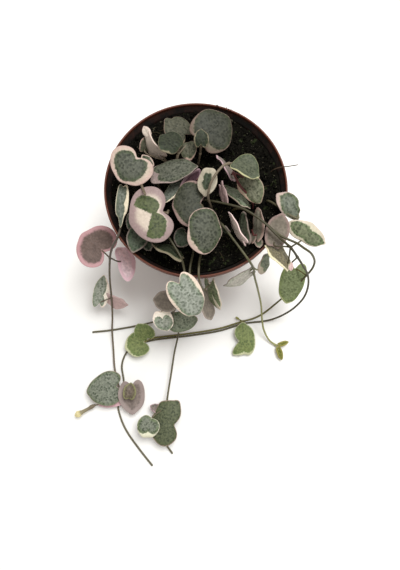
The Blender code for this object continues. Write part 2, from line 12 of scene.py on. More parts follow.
import bpy
import numpy as np
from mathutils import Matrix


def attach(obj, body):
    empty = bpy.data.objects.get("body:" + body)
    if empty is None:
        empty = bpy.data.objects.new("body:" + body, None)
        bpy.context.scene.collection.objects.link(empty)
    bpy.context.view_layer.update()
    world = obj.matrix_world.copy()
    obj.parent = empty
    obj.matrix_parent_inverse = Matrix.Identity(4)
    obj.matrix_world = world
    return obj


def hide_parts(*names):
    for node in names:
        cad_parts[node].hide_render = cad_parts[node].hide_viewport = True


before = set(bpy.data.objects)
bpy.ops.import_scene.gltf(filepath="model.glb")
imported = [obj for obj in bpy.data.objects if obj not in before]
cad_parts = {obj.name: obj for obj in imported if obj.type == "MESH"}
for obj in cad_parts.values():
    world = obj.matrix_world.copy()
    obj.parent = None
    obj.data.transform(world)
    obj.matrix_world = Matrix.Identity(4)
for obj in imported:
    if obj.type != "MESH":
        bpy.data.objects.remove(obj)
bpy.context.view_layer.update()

MM = 0.001
# Space under the soil and under the foot of a stem in its hole
GAP = 0.3

# Pot
POT_HEIGHT = 70.0
RIM_RADIUS = 42.5
BASE_RADIUS = 30.0
WALL = 1.0
FLOOR = 1.6
RIM_BAND = 3.5
RIM_OVERHANG = 1.7
CORNER_RADIUS = 0.5
CORNER_SHARE = 0.45
CORNER_POINTS = 5
POT_COLUMNS = 160
DRAIN_COUNT = 6
DRAIN_RADIUS = 3.5
DRAIN_CIRCLE = 21.0
DRAIN_SIDES = 32
SHARP_ANGLE = 50
WALL_BROWNS = "66331f 743c29"
BAND_BROWN = "5c2e1e"
WORN_BROWN = "5c3223"
INNER_DIRT = "0b0805"
FOOT_SPLASH = "5b3a2a"
LIME_SPOTS = "b5a295"

# Soil: its low bumps as in the part, then fine lumps as (height, scale, seed) and heaps as
# (height, middle, spread)
SOIL_TOP = 65.0
SOIL_BUMP = 0.5
SOIL_RADIUS = 39.3
SOIL_FOOT = 28.6
SOIL_EDGE_DROP = 0.5
SOIL_RINGS = 150
SOIL_COLUMNS = 300
SOIL_LUMPS = [(0.7, 0.35, 3), (0.45, 0.9, 4), (0.25, 2.1, 5)]
SOIL_HEAPS = [(2.6, (12.5, 37.5), (9.0, 4.0)), (0.8, (33.0, -2.0), (7.0, 14.0))]
BANK_RISE = 1.4
BANK_START = 33.0
BANK_WIDTH = 8.0
HOLE_DEPTH = 6.0
LATTICE_CELLS = 64
PEAT_BLACK = "060504"
PEAT_BROWN = "171510"
PEAT_DAMP = "15130e"
PEAT_SPECK = "565142"
PEAT_GREEN = "333b22"
PEAT_LIGHTNESS = {"peat": 1.0, "peat_crumbs": 1.2}
DRY_CRUMBS = {"grey_crumbs": "36332b", "pale_crumbs": "6a6354", "mossy_crumbs": "2f351f"}
THREAD_BROWN = "372f21"
WIRE_BROWN = "473a2e"

# Loose bits on the soil. Each kind of crumb: its material, how many, smallest and largest size.
# Other pairs are the lowest and highest, and on the rim the middle and spread
SOIL_SEED = 21
CRUMBS = [("peat", 2200, 0.25, 0.7), ("peat_crumbs", 1700, 0.2, 0.65), ("peat", 420, 0.7, 1.3),
          ("grey_crumbs", 260, 0.15, 0.4), ("pale_crumbs", 130, 0.12, 0.3),
          ("mossy_crumbs", 330, 0.15, 0.42)]
CRUMB_LIFT = 0.3
CRUMB_STRETCH = (0.55, 1.25)
CRUMB_DENTS = (0.75, 1.15)
CRUMB_MARGIN = 0.4
SPILL_COUNT = 34
SPILL_COMPASS = (71, 7)
SPILL_RADIUS = (RIM_RADIUS - 0.8, 0.5)
SPILL_SIZE = (0.12, 0.34)
THREAD_COUNT = 70
THREAD_MARGIN = 4.0
THREAD_LENGTH = (2.0, 6.0)
THREAD_BOW = (-0.2, 0.2)
THREAD_LIFT = (0.45, 0.85)
THREAD_RADIUS = (0.08, 0.16)
THREAD_SIDES = 5
THREAD_POINTS = 9

# Stems and leaf stalks
STEM_RADIUS = 0.53
ROOT_RISE = 1.5
JOINT_SWELL = 0.35
JOINT_REACH = 1.1
STALK_RADIUS = 0.36
STALK_SWELL = 0.2
STALK_BURIED = 1.5
WIRE_RADIUS = 0.3
WIRE_TAPER = 0.35
WIRE_STEP = 0.7
STEM_SIDES = 10
PATH_STEP = 1.0
DOME_TILTS = np.radians([0.0, 25.0, 60.0])

# Leaf blades. Notch and tip are bells on the outline: depths as shares, widths in radians
LEAF_THICKNESS = 0.9
NOTCH_DEPTH = 0.5
NOTCH_WIDTH = 0.42
TIP_POINT = 0.10
TIP_WIDTH = 0.25
UNEVEN = 0.012
EDGE_WAVE = 0.035
EDGE_POWER = 0.4
LEAST_CURL = 0.1
GROOVE_DEPTH = 0.13
GROOVE_WIDTH = 0.45
LEAF_ANGLES = 88
LEAF_RINGS = 12
LEAF_SEED = 500
WAVE_SHIFT = 6.3
PATTERN_SHIFT = (37.0, -23.0)
FLECK_STRENGTH = 0.85
PLAIN_BLUSH_FROM = 0.72

# Camera and light, in metres, degrees and watts, with the lens in millimetres
CAMERA_PLACE = (0.0019, -0.080, 0.2635)
CAMERA_TILT = 9.98
LENS = 28.0
SENSOR = 36.0
WINDOW_PLACE = (0.16, 0.15, 0.74)
WINDOW_TARGET = (0.0, -0.03, 0.04)
WINDOW_SIZE = 0.42
WINDOW_POWER = 5.7
WINDOW_COLOUR = (0.98, 1.0, 1.0)
ROOM_COLOUR = (1.0, 0.965, 0.925, 1.0)
ROOM_STRENGTH = 0.58
SHEET_COLOUR = (0.92, 0.91, 0.89, 1.0)
SHEET_SIZE = 4.0


class Leaf(NamedTuple):
    """One leaf: the route point it grows from, its base, its tip and its form, as in the part.

    look names its colours and rim is the width of its pale edge. Each bulge is (compass angle,
    spread, share): the outline reaches further out there. Each band is (compass angle, spread,
    depth): the pale edge is deeper there. Each wedge is (compass angle, half angle): the blade is
    pale from its middle to its edge there.
    """
    joint: int
    base: tuple
    tip: tuple
    width: float
    roll: float = 0.0
    curl: float = 0.0
    arch: float = 0.06
    notch: float = NOTCH_DEPTH
    bulges: tuple | list = ()
    look: str = "silver"
    rim: float = 0.7
    bands: tuple | list = ()
    wedges: tuple | list = ()


class Stem(NamedTuple):
    """One leafy stem: its bark, where it leaves the soil, the points it passes and its leaves."""
    bark: str
    root: tuple
    route: list
    leaves: list


# Each stem: its bark, where it leaves the soil, the points it passes through, and its leaves
STEMS = {
    "stem_left_heart": Stem("brown", (-17, 1), [
        (-18, 1.5, 71), (-20.5, 2.5, 76), (-23.5, -0.5, 79), (-23.4, -4, 82.6), (-22.4, -7, 85.6),
        (-21, -10.6, 87.8)], [
        Leaf(2, (-25, 6.9, 85.4), (-32.8, -3.4, 84.4), 19.6, -10, -20, rim=0.6,
             bands=[(105, 45, 1.8), (180, 50, 1.2), (300, 40, 1.8), (350, 35, 2.0)]),
        Leaf(1, (-20.4, 6.5, 78), (-23.9, 11.3, 79), 5),
        Leaf(1, (-20.4, 1.4, 77), (0.8, 6.2, 79), 13, -20, -20, notch=0.1, look="ash_mauve",
             rim=0.2, bands=[(200, 40, 4.2)])]),
    "stem_left_broad": Stem("brown", (-13, -11), [
        (-12.8, -12, 71), (-12, -14, 77), (-12.2, -16.4, 81)], [
        Leaf(2, (-13.8, -16.4, 83.2), (-28.4, -20.7, 82.2), 25, -5, -16, look="fresh_pink", rim=1.7,
             bands=[(78, 48, 3.6), (335, 30, 1.8)], wedges=[(206, 43)])]),
    "stem_left_back": Stem("brown", (-11.5, 9.5), [
        (-12, 10, 69), (-13, 11, 71)], [
        Leaf(1, (-16.5, 14.5, 72.5), (-21.8, 25.6, 76.5), 13, -75, 0, 0.2, look="pale", rim=9),
        Leaf(1, (-24.1, 17.5, 71.5), (-23.9, 22.3, 74), 6, 50, look="drab", rim=0.3),
        Leaf(1, (-21.5, 22.1, 77), (-23.7, 25.7, 78), 4, -30, look="pale", rim=9)]),
    "stem_back_left": Stem("brown", (-9.5, 7.5), [
        (-9.5, 8.5, 70), (-8.3, 13, 75)], [
        Leaf(1, (-7.4, 14.2, 79), (-16, 20, 80), 13.5, 20, -15, notch=0.15, look="deep", rim=0.0,
             bands=[(250, 25, 1.2)]),
        Leaf(1, (-3.5, 19.2, 75.5), (-2.6, 10.8, 74.5), 8, 20, 20, notch=0.2, look="drab", rim=-0.4,
             bands=[(270, 40, 1.4)]),
        Leaf(1, (-5.1, 24.7, 72), (-14.6, 31.1, 74.5), 15, 20, -15, bulges=[(125, 12, -0.16)],
             look="drab", rim=-0.4)]),
    "stem_back_right": Stem("brown", (1, 12.5), [
        (1.3, 13, 69), (2, 14.5, 74)], [
        Leaf(1, (3.5, 20.5, 77), (15.3, 31.9, 75), 20, 18, -20, bulges=[(240, 20, -0.12)],
             look="shaded", rim=0.3, bands=[(262, 32, 3.0), (175, 30, 1.6)]),
        Leaf(1, (2.3, 15.6, 80), (2.5, 22.2, 82), 7, 10, 60, look="deep", rim=0.4)]),
    "stem_middle_back": Stem("red", (1.5, 5.5), [
        (1.7, 5.2, 69), (2.4, 4.4, 72), (3.8, 3.5, 79), (4.6, 2.2, 83.5)], [
        Leaf(1, (1.4, 3.8, 72.3), (-7.2, -6.6, 72), 12, 120, -15, look="purple", rim=0.9),
        Leaf(1, (-2.6, 4.8, 72.5), (-15.9, -9.3, 71.5), 6.5, 10, look="pale_fold", rim=-0.2,
             bands=[(315, 60, 2.6)]),
        Leaf(3, (6.2, 1.9, 86), (4, -10.3, 84), 8.6, 15, -15, notch=0.1, look="pale_cup",
             rim=2.6)]),
    "stem_middle_front": Stem("olive", (3, -20.5), [
        (3, -21, 71), (1, -22.8, 77), (-1.5, -24.2, 82)], [
        Leaf(0, (2.3, -12, 81), (-10.3, -12.6, 79.5), 21.5, 0, -20, look="shaded_rosy", rim=0.1,
             bands=[(60, 45, 1.4), (225, 40, 1.5)]),
        Leaf(2, (-3.1, -25.3, 86), (11.2, -25.6, 82), 19.5, 12, -18, 0.12, notch=0.12, rim=0.3,
             bands=[(225, 35, 1.8)]),
        Leaf(0, (-4.3, -21.6, 69), (-8.4, -27.8, 67.6), 9, look="dark")]),
    "stem_right_arch": Stem("brown", (7.5, -12.5), [
        (7.4, -12.6, 72), (6.4, -12.4, 80), (5.3, -10.9, 86.5), (6.1, -7.2, 89.3),
        (7.5, -4.5, 90.4), (9.6, -1.5, 91), (11.9, 0.9, 91), (14, 2, 90.2)], [
        Leaf(7, (15, 3.2, 89), (26.8, -2.8, 87), 15.5, -29, 76, 0.03, notch=0.1,
             bulges=[(125, 28, -0.2)], look="cup", rim=-0.4,
             bands=[(235, 40, 2.0), (330, 25, 0.9)])]),
    "stem_right_red": Stem("red", (26.5, -8.5), [
        (26, -8, 70), (24.5, -6.8, 75), (21.6, -5.3, 78), (18.9, -3, 80.5), (16.5, 2.1, 81)], [
        Leaf(4, (21.2, 0.8, 79), (28.7, -10.4, 77), 12, 38, notch=0.3, bulges=[(225, 35, -0.25)],
             look="olive", rim=-0.4, bands=[(215, 60, 2.2)]),
        Leaf(4, (16.2, 2.4, 76), (9.2, 12.1, 77), 12, 64, look="mauve")]),
    "stem_right_narrow": Stem("red", (12, 0.5), [
        (12, 0.3, 69), (12, -0.8, 72)], [
        Leaf(1, (11.4, -1.2, 74), (14.7, -10, 74), 7.5, 76, look="pink", rim=9),
        Leaf(1, (14.2, -1.9, 72), (24.7, -11.2, 71), 8.5, -40, look="sage", rim=0.3)]),
    "stem_front_right": Stem("red", (20.5, -24), [
        (20.8, -24.5, 69), (21.8, -26.2, 70.5)], [
        Leaf(1, (21.2, -26.2, 73), (14.9, -13.3, 74), 12, -90, 0, 0.04, look="pale_pink_painted_light", rim=9),
        Leaf(1, (22.5, -25.8, 71), (21.6, -12.2, 71.5), 8.5, -64, look="dark")]),
    "stem_right_edge": Stem("red", (25.8, -20), [
        (25.8, -20.3, 68), (26.4, -23, 69.5)], [
        Leaf(1, (27.3, -24.7, 71), (28, -10.5, 71.5), 7.5, 130, look="dull_back", rim=0.8),
        Leaf(1, (28.2, -25, 69), (29, -28.8, 69), 4, look="dull_back")]),
    "stem_right_back": Stem("olive", (33, -6), [
        (33.3, -6.4, 69), (36.5, -9.5, 71.8), (41, -13.3, 71.7), (46, -15.6, 70.8)], [
        Leaf(3, (47.4, -13.1, 69.5), (36.3, -5.1, 74.2), 10.5, 0, -15, notch=0.2,
             bulges=[(10, 30, -0.35), (309, 10, 0.12)], look="ash", rim=0.3,
             bands=[(160, 45, 1.8)])]),
    "stem_left_soil": Stem("olive", (-25.5, -17), [
        (-25.5, -17.3, 68.5), (-25.8, -18.5, 70)], [
        Leaf(1, (-24.8, -20.5, 71), (-27.8, -32, 73), 10, look="dark"),
        Leaf(1, (-29.5, -19, 69.3), (-29.8, -11.7, 69.8), 4.5, look="dark"),
        Leaf(0, (-22.7, -26, 68.4), (-20.5, -30, 68), 4.5, look="dark")]),
    "trail_left": Stem("brown", (-33, -12), [
        (-33, -13, 69.5), (-33.5, -18, 71.3), (-34.6, -24.5, 72.8), (-38.5, -27.3, 65),
        (-42.2, -29.4, 52), (-45.5, -36, 35), (-47.2, -44.5, 20), (-48.5, -54, 9),
        (-49.1, -61.5, 5.5), (-48.5, -72, 3), (-47.5, -83, 2.2), (-45, -92, 2.6),
        (-43, -96.5, 3.5)], [
        Leaf(0, (-31.8, -3.2, 78.5), (-33.5, -21.6, 74.5), 6, -10, 90, notch=0.25,
             bulges=[(305, 25, -0.25), (235, 25, -0.25)], look="pale_fold", rim=-0.2,
             bands=[(0, 70, 2.4)]),
        Leaf(4, (-45.4, -26.1, 50), (-56.4, -17.7, 54), 22.5, 175, -25, look="rosy_back", rim=1.9),
        Leaf(4, (-39.6, -30, 46), (-31, -28, 43), 20.5, 170, 60, notch=0.2, look="pink_back_painted_light",
             rim=2.2),
        Leaf(6, (-54.8, -46.7, 16), (-51.4, -31.9, 22), 9, 20, 20, look="mint_painted_light", rim=0.0,
             bands=[(350, 60, 3.2)]),
        Leaf(6, (-49.2, -44.4, 17), (-38.4, -48, 17), 11, 58, 20, look="pink", rim=9),
        Leaf(12, (-45.3, -93.1, 6.5), (-62, -96, 7.5), 19.5, 0, -20, bulges=[(135, 30, -0.12)],
             look="dusky", rim=-0.2),
        Leaf(12, (-36.9, -92.4, 7), (-35.8, -108.6, 5.5), 15, 170, -15, look="mauve_back", rim=2.4),
        Leaf(12, (-37.5, -99.4, 10.5), (-36.5, -90.7, 11), 7.5, 0, 60, notch=0.3, look="dull_cup",
             rim=0.7),
        Leaf(12, (-44.1, -101.6, 4), (-56.1, -103.3, 3.5), 5, 0, -15, look="rosy", rim=9)]),
    "trail_front_left": Stem("olive", (-15, -20), [
        (-14.6, -20.5, 70), (-12.5, -24.5, 75), (-6.6, -34.3, 75), (-5.2, -38.6, 73),
        (-5, -41.6, 72.2), (-6.3, -44.3, 69), (-7.8, -45.5, 60), (-8.6, -47, 45), (-9, -51, 30),
        (-9.5, -57, 18), (-10.6, -64.5, 9.5), (-12.8, -74, 6), (-14.6, -86, 5), (-16.2, -97, 6),
        (-17, -104, 6), (-18, -114, 4.5), (-18.2, -123, 2.5), (-13.8, -130, 1)], [
        Leaf(2, (-7.4, -33.7, 73.5), (-19.3, -28.5, 74), 12, 58, look="deep", rim=0.2,
             bands=[(250, 60, 1.8)]),
        Leaf(14, (-12.2, -113.7, 9), (-25.7, -110.8, 7), 25, 0, -14,
             bulges=[(55, 14, 0.12), (120, 16, 0.08)], look="moss", rim=0.4),
        Leaf(14, (-24.5, -109.8, 11), (-29.3, -120.2, 10), 12.5, 0, 20, notch=0.25,
             look="dusky_cream", rim=0.2, bands=[(265, 40, 3.2)]),
        Leaf(14, (-20.6, -106, 6), (-26.3, -103.9, 5), 5.5, 30, look="mauve")]),
    "trail_front": Stem("olive", (-0.5, -27), [
        (-0.7, -28, 68), (-1.6, -33.7, 71), (-2.5, -38.6, 72.4), (-2.7, -41.6, 72.2),
        (-3.3, -44.8, 69), (-5, -46.8, 62), (-8.5, -50.5, 48), (-11.3, -53.5, 38), (-16.5, -56, 24),
        (-21, -56.2, 12), (-26, -56.6, 5), (-36.4, -58.5, 1.2), (-50.1, -60.8, 0.9),
        (-61.3, -62, 0.9)], [
        Leaf(3, (-7.2, -46, 74), (1.4, -58.3, 61), 15, 0, -20, look="mint", rim=0.0,
             bands=[(50, 40, 1.9), (215, 45, 1.4)]),
        Leaf(6, (-11.7, -50, 42), (-22.3, -48.2, 40), 11, 160, look="brown_back"),
        Leaf(7, (-18.7, -53.6, 36), (-14.8, -63.6, 32), 10.5, 10, notch=0.25, look="mint_painted_light",
             rim=0.3, bands=[(100, 60, 4.6)]),
        Leaf(7, (-12.6, -59.2, 30), (0.8, -57, 29), 12, 30, -15, look="sage", rim=0.2)]),
    "trail_front_short": Stem("olive", (3.5, -26.5), [
        (3.2, -28, 68), (1.7, -35, 71), (1.3, -41.4, 72.3), (1.9, -44.8, 69), (3.4, -46.6, 60)], [
        Leaf(4, (5, -45.9, 55), (8.2, -58.8, 42), 12, 132, look="brown_back"),
        Leaf(4, (6.8, -43.2, 58), (11.6, -54.1, 45), 9, 58, look="fresh", rim=0.6,
             wedges=[(255, 24)])]),
    "trail_right_front": Stem("green", (9, -15.5), [
        (9.4, -16, 70), (11.8, -19, 72.5), (17.8, -27.8, 74), (23.4, -35.4, 73), (26.2, -37.5, 66),
        (27.9, -38.6, 55), (32, -42.5, 36), (35.7, -48.4, 20), (37.3, -55.5, 11), (39, -61.5, 6),
        (42.5, -67, 2.5), (46.5, -69.8, 1.6)], [
        Leaf(4, (29.2, -37.3, 60), (35.3, -29.1, 56), 10, 60, notch=0.1, look="sage", rim=0.1,
             bands=[(225, 50, 3)]),
        Leaf(4, (25.4, -38, 59), (13.1, -44, 56), 11.5, -74, look="pale_grey", rim=0.3),
        Leaf(1, (12.8, -20, 71.5), (15.6, -22.6, 70.5), 5, 80, look="dark"),
        Leaf(11, (47.5, -69.7, 2.6), (53.6, -67.8, 3.4), 3, 0, 120, 0, notch=0.2, look="young"),
        Leaf(11, (47.2, -70.8, 2.6), (49.4, -78.3, 2.6), 3.8, 0, 110, 0, notch=0.2, look="young")]),
    "trail_right_long": Stem("olive", (1.5, -6), [
        (2, -6.5, 70), (5, -8.2, 74.5), (13, -10.5, 76.5), (20.8, -13.4, 78), (28.3, -18.8, 79),
        (36.5, -26.7, 78), (41.7, -30, 74.5), (46, -32.7, 68), (50, -35.2, 61), (54, -37.8, 53),
        (56.5, -41.6, 43), (56.5, -46, 33), (54, -49.8, 22), (50, -52.6, 12), (44.8, -54.6, 4.5),
        (39, -55.7, 1.4), (33.5, -56.2, 0.9), (27.4, -57, 0.9), (13.7, -61.2, 0.9),
        (-4, -64.1, 0.9), (-24.6, -66.6, 0.9), (-33, -68.8, 0.9), (-40.3, -72.8, 0.9),
        (-43.6, -81, 0.9), (-42.3, -91.4, 0.9), (-45.2, -102.6, 0.9), (-43.5, -110.5, 0.9),
        (-39.5, -118.5, 0.9), (-32, -128.3, 0.9), (-25, -136.5, 0.9)], [
        Leaf(6, (34.2, -29.2, 73.6), (38.3, -15, 77), 10.5, 180, -10, notch=0.2, look="tan_back",
             rim=1.0),
        Leaf(6, (41.4, -37, 69.5), (30.5, -28.7, 73), 14, 45, 15, notch=0.3, look="bronze", rim=0.3,
             bands=[(225, 60, 1.2)]),
        Leaf(6, (47.1, -26.3, 71.5), (51.4, -19, 75.5), 17.8, 0, -10, notch=0.15,
             bulges=[(330, 12, 0.12)], look="fresh", rim=0.2,
             bands=[(200, 70, 1.8), (35, 50, 2.6)]),
        Leaf(7, (42.8, -35.5, 67), (43.3, -38.8, 66), 2.6, 0, 60, look="pink", rim=9),
        Leaf(17, (27.4, -75.1, 3), (27, -56.4, 4.5), 14, 0, -15, notch=0.2,
             bulges=[(183, 26, -0.6), (219, 14, 0.35)], look="lime", rim=0.5,
             bands=[(280, 50, 1.2)])]),
    "trail_right_twin": Stem("moss_green", (17, -10.8), [
        (17, -11.2, 70), (18.6, -11.8, 74), (21.2, -13, 76.4), (28.5, -18.3, 77.5),
        (36.9, -25.5, 77.6), (43.7, -29, 78), (47.3, -30.3, 75), (51.2, -31.4, 71),
        (54.3, -32.2, 64.5), (56.3, -33, 58), (56.9, -34.4, 51), (56.2, -36, 42), (53.5, -39.5, 29),
        (49.5, -43, 16), (44.5, -47.2, 7), (39.5, -51, 2.6), (34, -53.8, 1.2), (27.1, -55.7, 0.9),
        (13.3, -59.9, 0.9), (-4.2, -62.8, 0.9), (-23, -65.1, 0.9), (-26.3, -65.8, 3)], [
        Leaf(11, (51.2, -31.6, 38), (48.3, -48.6, 26), 13, 0, -18, notch=0.4,
             bulges=[(35, 20, 0.18)], look="spring", rim=0.1, bands=[(250, 40, 1.2)]),
        Leaf(17, (24.8, -54.5, 2), (22.9, -53.2, 3), 1.3, 0, 0, 0, notch=0.2, look="young"),
        Leaf(21, (-28.6, -65.8, 4), (-34.4, -57.7, 6.5), 12, -12, -15, look="lime", rim=0.3),
        Leaf(21, (-30.6, -68, 4), (-41.4, -72, 5.5), 15, 8, -15, look="lime", rim=0.5,
             bands=[(200, 50, 1.0)])]),
}

# The faded flower on one stem: the route point it grows from, its two ends, and its radius at
# shares of its length
FLOWER_STEM = "trail_left"
FLOWER_JOINT = 12
FLOWER_NECK = (-57.7, -103.5, 3.5)
FLOWER_MOUTH = (-67.6, -108.9, 4)
FLOWER_SHARES = [0, 0.08, 0.2, 0.35, 0.7, 0.85, 0.95, 1]
FLOWER_RADII = [0.5, 0.95, 1.2, 0.85, 1.0, 1.55, 1.75, 1.3]
FLOWER_BOW = (0.0, -1.0, 1.2)
FLOWER_LOBES = 5
LOBE_DEPTHS = (0.05, 0.12)
FLOWER_SIDES = 30
FLOWER_RINGS = 40
FLOWER_FOOT = "6f6350"
FLOWER_TUBE = "8d8468"
FLOWER_PALE = "d9cc98"

# The bare stem end
WIRE_ROOT = (35.5, 9)
WIRE_ROUTE = [(36.5, 9, 69), (39.3, 9.2, 71), (42.5, 9.4, 71.4), (46.8, 9.8, 72.2)]

# Colours of each kind of leaf, in the order of LEAF_PARTS
LEAF_PARTS = ["Ground", "Fresh", "Fleck", "Cream", "Blush", "Back", "Back rim"]
LOOKS = {
    "silver": "4d4f43 3d472d 1f2419 b0a291 b39b91 7f7a70 b39a92",
    "shaded": "3a3b31 343924 191d12 6b6453 6f5e54 6b645a 94867c",
    "shaded_rosy": "3d3e33 393d29 1b2015 847568 88716b 6b645a 94867c",
    "ash_mauve": "56574c 4c503f 262b20 8c7c78 988781 7f7a70 b39a92",
    "ash": "696d61 505c3c 363e30 aa9e8c ab978f 8f8880 c0a8a0",
    "olive": "797a66 687050 3e4332 c6b79e c4a494 80756a b09a8a",
    "drab": "545345 4a4d39 2a2d21 a79883 a1857a 6b645a 94867c",
    "dusky": "767a6c 5e6c48 374030 d2c6b4 cdb4ac 7f786f ab9790",
    "dusky_cream": "767a6c 5e6c48 374030 dedcc2 c8c4ae 7f786f ab9790",
    "sage": "858b78 6d7b5c 46513f bcb39c b8a898 7a7668 958c7c",
    "mint": "92968b 77846b 525a4c ddd1bc dbc7b7 8b8577 c4b6a6",
    # Lighter copy of mint with a near white edge: painted light on leaves that lie in shade
    "mint_painted_light": "a6aa9d 86957a 5c6656 fff6e6 fff0e0 8b8577 c4b6a6",
    # Dark green leaves with their pale parts darker still: painted shade on leaves lying low in the
    # pot under others
    "dark": "4d5546 3d4a36 22291f 7d8072 7d7068 4a473e 6a6058",
    "deep": "34382a 2d3622 171c13 807c65 7c735e 565346 857b6c",
    "moss": "5b6048 51593a 313828 a8a585 a08a7c 6d6a55 8f8570",
    "fresh": "767b60 5e6f49 3d4630 d0c8b0 cdc0ae 8a9075 c0b8a0",
    "fresh_pink": "4e5437 47522e 2b331f bfb1a2 8f7b78 8a7874 b89ea0",
    "spring": "7b8560 74824c 566142 a9b07c a9ad80 8b9560 b5b888",
    "lime": "7c8653 70814c 56653c c3c69a c3c4a0 8b9560 b5b888",
    "young": "7c7c3c 767636 5a6028 9a9a55 958c50 7d7c42 8f8a50",
    "pale_cup": "3b4233 38422d 22291e 9c9482 a89e8c 8a8276 a0968a",
    # A pale pink leaf, made lighter still: painted light on a leaf that stands on edge to the lamp
    "pale_pink_painted_light": "e4d0c6 d8c8ba c4a8a0 f0ded2 ecd2cc c8a8a8 e0c4c0",
    "pale": "a4a596 969b82 6c745e d2c4b6 d4c0b4 c2b6aa d0c2b6",
    "pale_grey": "b9b4aa a9ab98 8d8c80 8f857c 8f857c b0aaa0 8f857c",
    "pale_fold": "676b61 5e6654 41483c d8cab2 e0d3b9 a39a8c d2c8b4",
    "cup": "545846 4b563c 2e3627 b4b088 b8b48a 6a6c58 a8a47c",
    "dull_cup": "6d6157 615b46 4a4038 7f7d58 7f7d58 6a6c58 8b8a68",
    "rosy": "a8868a 9c8c80 86686c c09aa0 cfa8ae a88a8c c09ca2",
    "pink": "b09a92 9c8c80 7a6a64 c4a8a4 d0b4b0 a88a8c c09ca2",
    "mauve": "8b7d77 7a766a 5a5550 a98f8c b2969a 82706e a08488",
    "purple": "7a7064 6c6a58 453f33 c4b0a6 c6a8a6 5e444c b09098",
    "bronze": "766e54 6c664c 4a4332 dcd3ae e2d8b6 8f7a6c cbb9a0",
    "tan_back": "7f8678 73875f 414d3c dccdbb dcc2bd 6e665a 847069",
    "rosy_back": "7f8678 73875f 414d3c dccdbb dcc2bd 685750 b88f91",
    # A pink underside made near white: real pink with painted light, for a hanging leaf in the
    # pot's shadow
    "pink_back_painted_light": "8d9486 73875f 414d3c dccdbb dcc2bd f4dadf ecc9d2",
    "mauve_back": "8d9486 73875f 414d3c dccdbb dcc2bd 7d7069 9a8b86",
    "dull_back": "6e7263 5f6a4e 3b4434 b5a796 b09a90 6a6558 8a7268",
    "brown_back": "8d9486 73875f 414d3c dccdbb dcc2bd 746b60 9a8f84",
}

# How far out the pale areas turn to blush, where it is not just at the rim
BLUSH_FROM = {"fresh_pink": 0.55, "mauve": 0.3}

# Colours of each kind of stem, at the soil and at its tip
BARKS = {
    "brown": "3f362b 685c4b",
    "olive": "38341f 5c5640",
    "moss_green": "38341f 6f6a38",
    "green": "332f22 8f8e5c",
    "red": "4a2024 62322f",
}


# Shader nodes

def colour(code):
    """Linear colour of a screen colour, by the standard screen curve."""
    parts = np.array([int(code[i:i + 2], 16) for i in (0, 2, 4)]) / 255.0
    linear = np.where(parts <= 0.04045, parts / 12.92, ((parts + 0.055) / 1.055) ** 2.4)
    return (*linear.tolist(), 1.0)


def colours(codes):
    """Linear colours of several screen colours."""
    return [colour(code) for code in codes.split()]


class Nodes:
    """Short ways to add nodes to a shader tree. A value is a number, a colour or a socket."""

    def __init__(self, tree):
        self.tree = tree

    def feed(self, socket, value):
        """Set an input, or link another node's socket to it."""
        if isinstance(value, bpy.types.NodeSocket):
            self.tree.links.new(value, socket)
        else:
            socket.default_value = value

    def add(self, kind, inputs=(), **settings):
        """Add a node, with its inputs by name or number."""
        item = self.tree.nodes.new("ShaderNode" + kind)
        for key, value in settings.items():
            setattr(item, key, value)
        for key, value in dict(inputs).items():
            self.feed(item.inputs[key], value)
        return item

    def calc(self, operation, *values):
        """A sum, product or other figure of up to three values."""
        return self.add("Math", enumerate(values), operation=operation).outputs[0]

    def times(self, first, *others):
        """The product of values."""
        for other in others:
            first = self.calc("MULTIPLY", first, other)
        return first

    def plus(self, first, *others):
        """The sum of values."""
        for other in others:
            first = self.calc("ADD", first, other)
        return first

    def about_zero(self, value, width):
        """A value from 0 to 1 spread over a width, half of it below zero."""
        return self.calc("MULTIPLY_ADD", value, width, -0.5 * width)

    def blend(self, share, first, second):
        """A colour between two others."""
        return self.add("Mix", {0: share, 6: first, 7: second}, data_type="RGBA").outputs[2]

    def shade(self, tint, amount):
        """A colour made lighter or darker by a factor."""
        return self.add("VectorMath", {0: tint, "Scale": amount}, operation="SCALE").outputs[0]

    def step(self, value, low, high, start=0.0, stop=1.0):
        """A soft step from start to stop as a value goes from low to high."""
        return self.add("MapRange", enumerate([value, low, high, start, stop]),
                        interpolation_type="SMOOTHSTEP").outputs[0]

    def noise(self, place, scale, detail=2.0, roughness=0.5):
        """Cloudy noise from 0 to 1."""
        return self.add("TexNoise", {"Vector": place, "Scale": scale, "Detail": detail,
                                     "Roughness": roughness}).outputs[0]

    def field(self, name, output="Fac"):
        """A value that the mesh carries at its points."""
        return self.add("Attribute", attribute_name=name).outputs[output]

    def place(self):
        """The point's place on its object, in metres."""
        return self.add("TexCoord").outputs["Object"]


def make_group(name, inputs, paint):
    """A node group. paint gets its nodes and inputs and gives its outputs, all by name."""
    group = bpy.data.node_groups.new(name, "ShaderNodeTree")
    for title, kind in inputs.items():
        group.interface.new_socket(name=title, in_out="INPUT", socket_type="NodeSocket" + kind)
    made = paint(Nodes(group), group.nodes.new("NodeGroupInput").outputs)
    for title in made:
        kind = "NodeSocketColor" if title == "Color" else "NodeSocketFloat"
        group.interface.new_socket(name=title, in_out="OUTPUT", socket_type=kind)
    outputs = group.nodes.new("NodeGroupOutput").inputs
    for title, socket in made.items():
        group.links.new(socket, outputs[title])
    return group


def new_material(name, roughness, specular=0.5):
    """An empty material, its nodes and its shader, ready for its colours."""
    material = bpy.data.materials.new(name)
    material.use_nodes = True
    nodes = Nodes(material.node_tree)
    shader = nodes.tree.nodes["Principled BSDF"].inputs
    shader["Roughness"].default_value = roughness
    shader["Specular IOR Level"].default_value = specular
    return material, nodes, shader


def cover(nodes, shader, tint, height, relief):
    """Give a shader its colour, and raise its surface by a height times a relief in millimetres."""
    bump = nodes.add("Bump", {"Height": height, "Distance": relief * MM})
    nodes.feed(shader["Base Color"], tint)
    nodes.feed(shader["Normal"], bump.outputs[0])


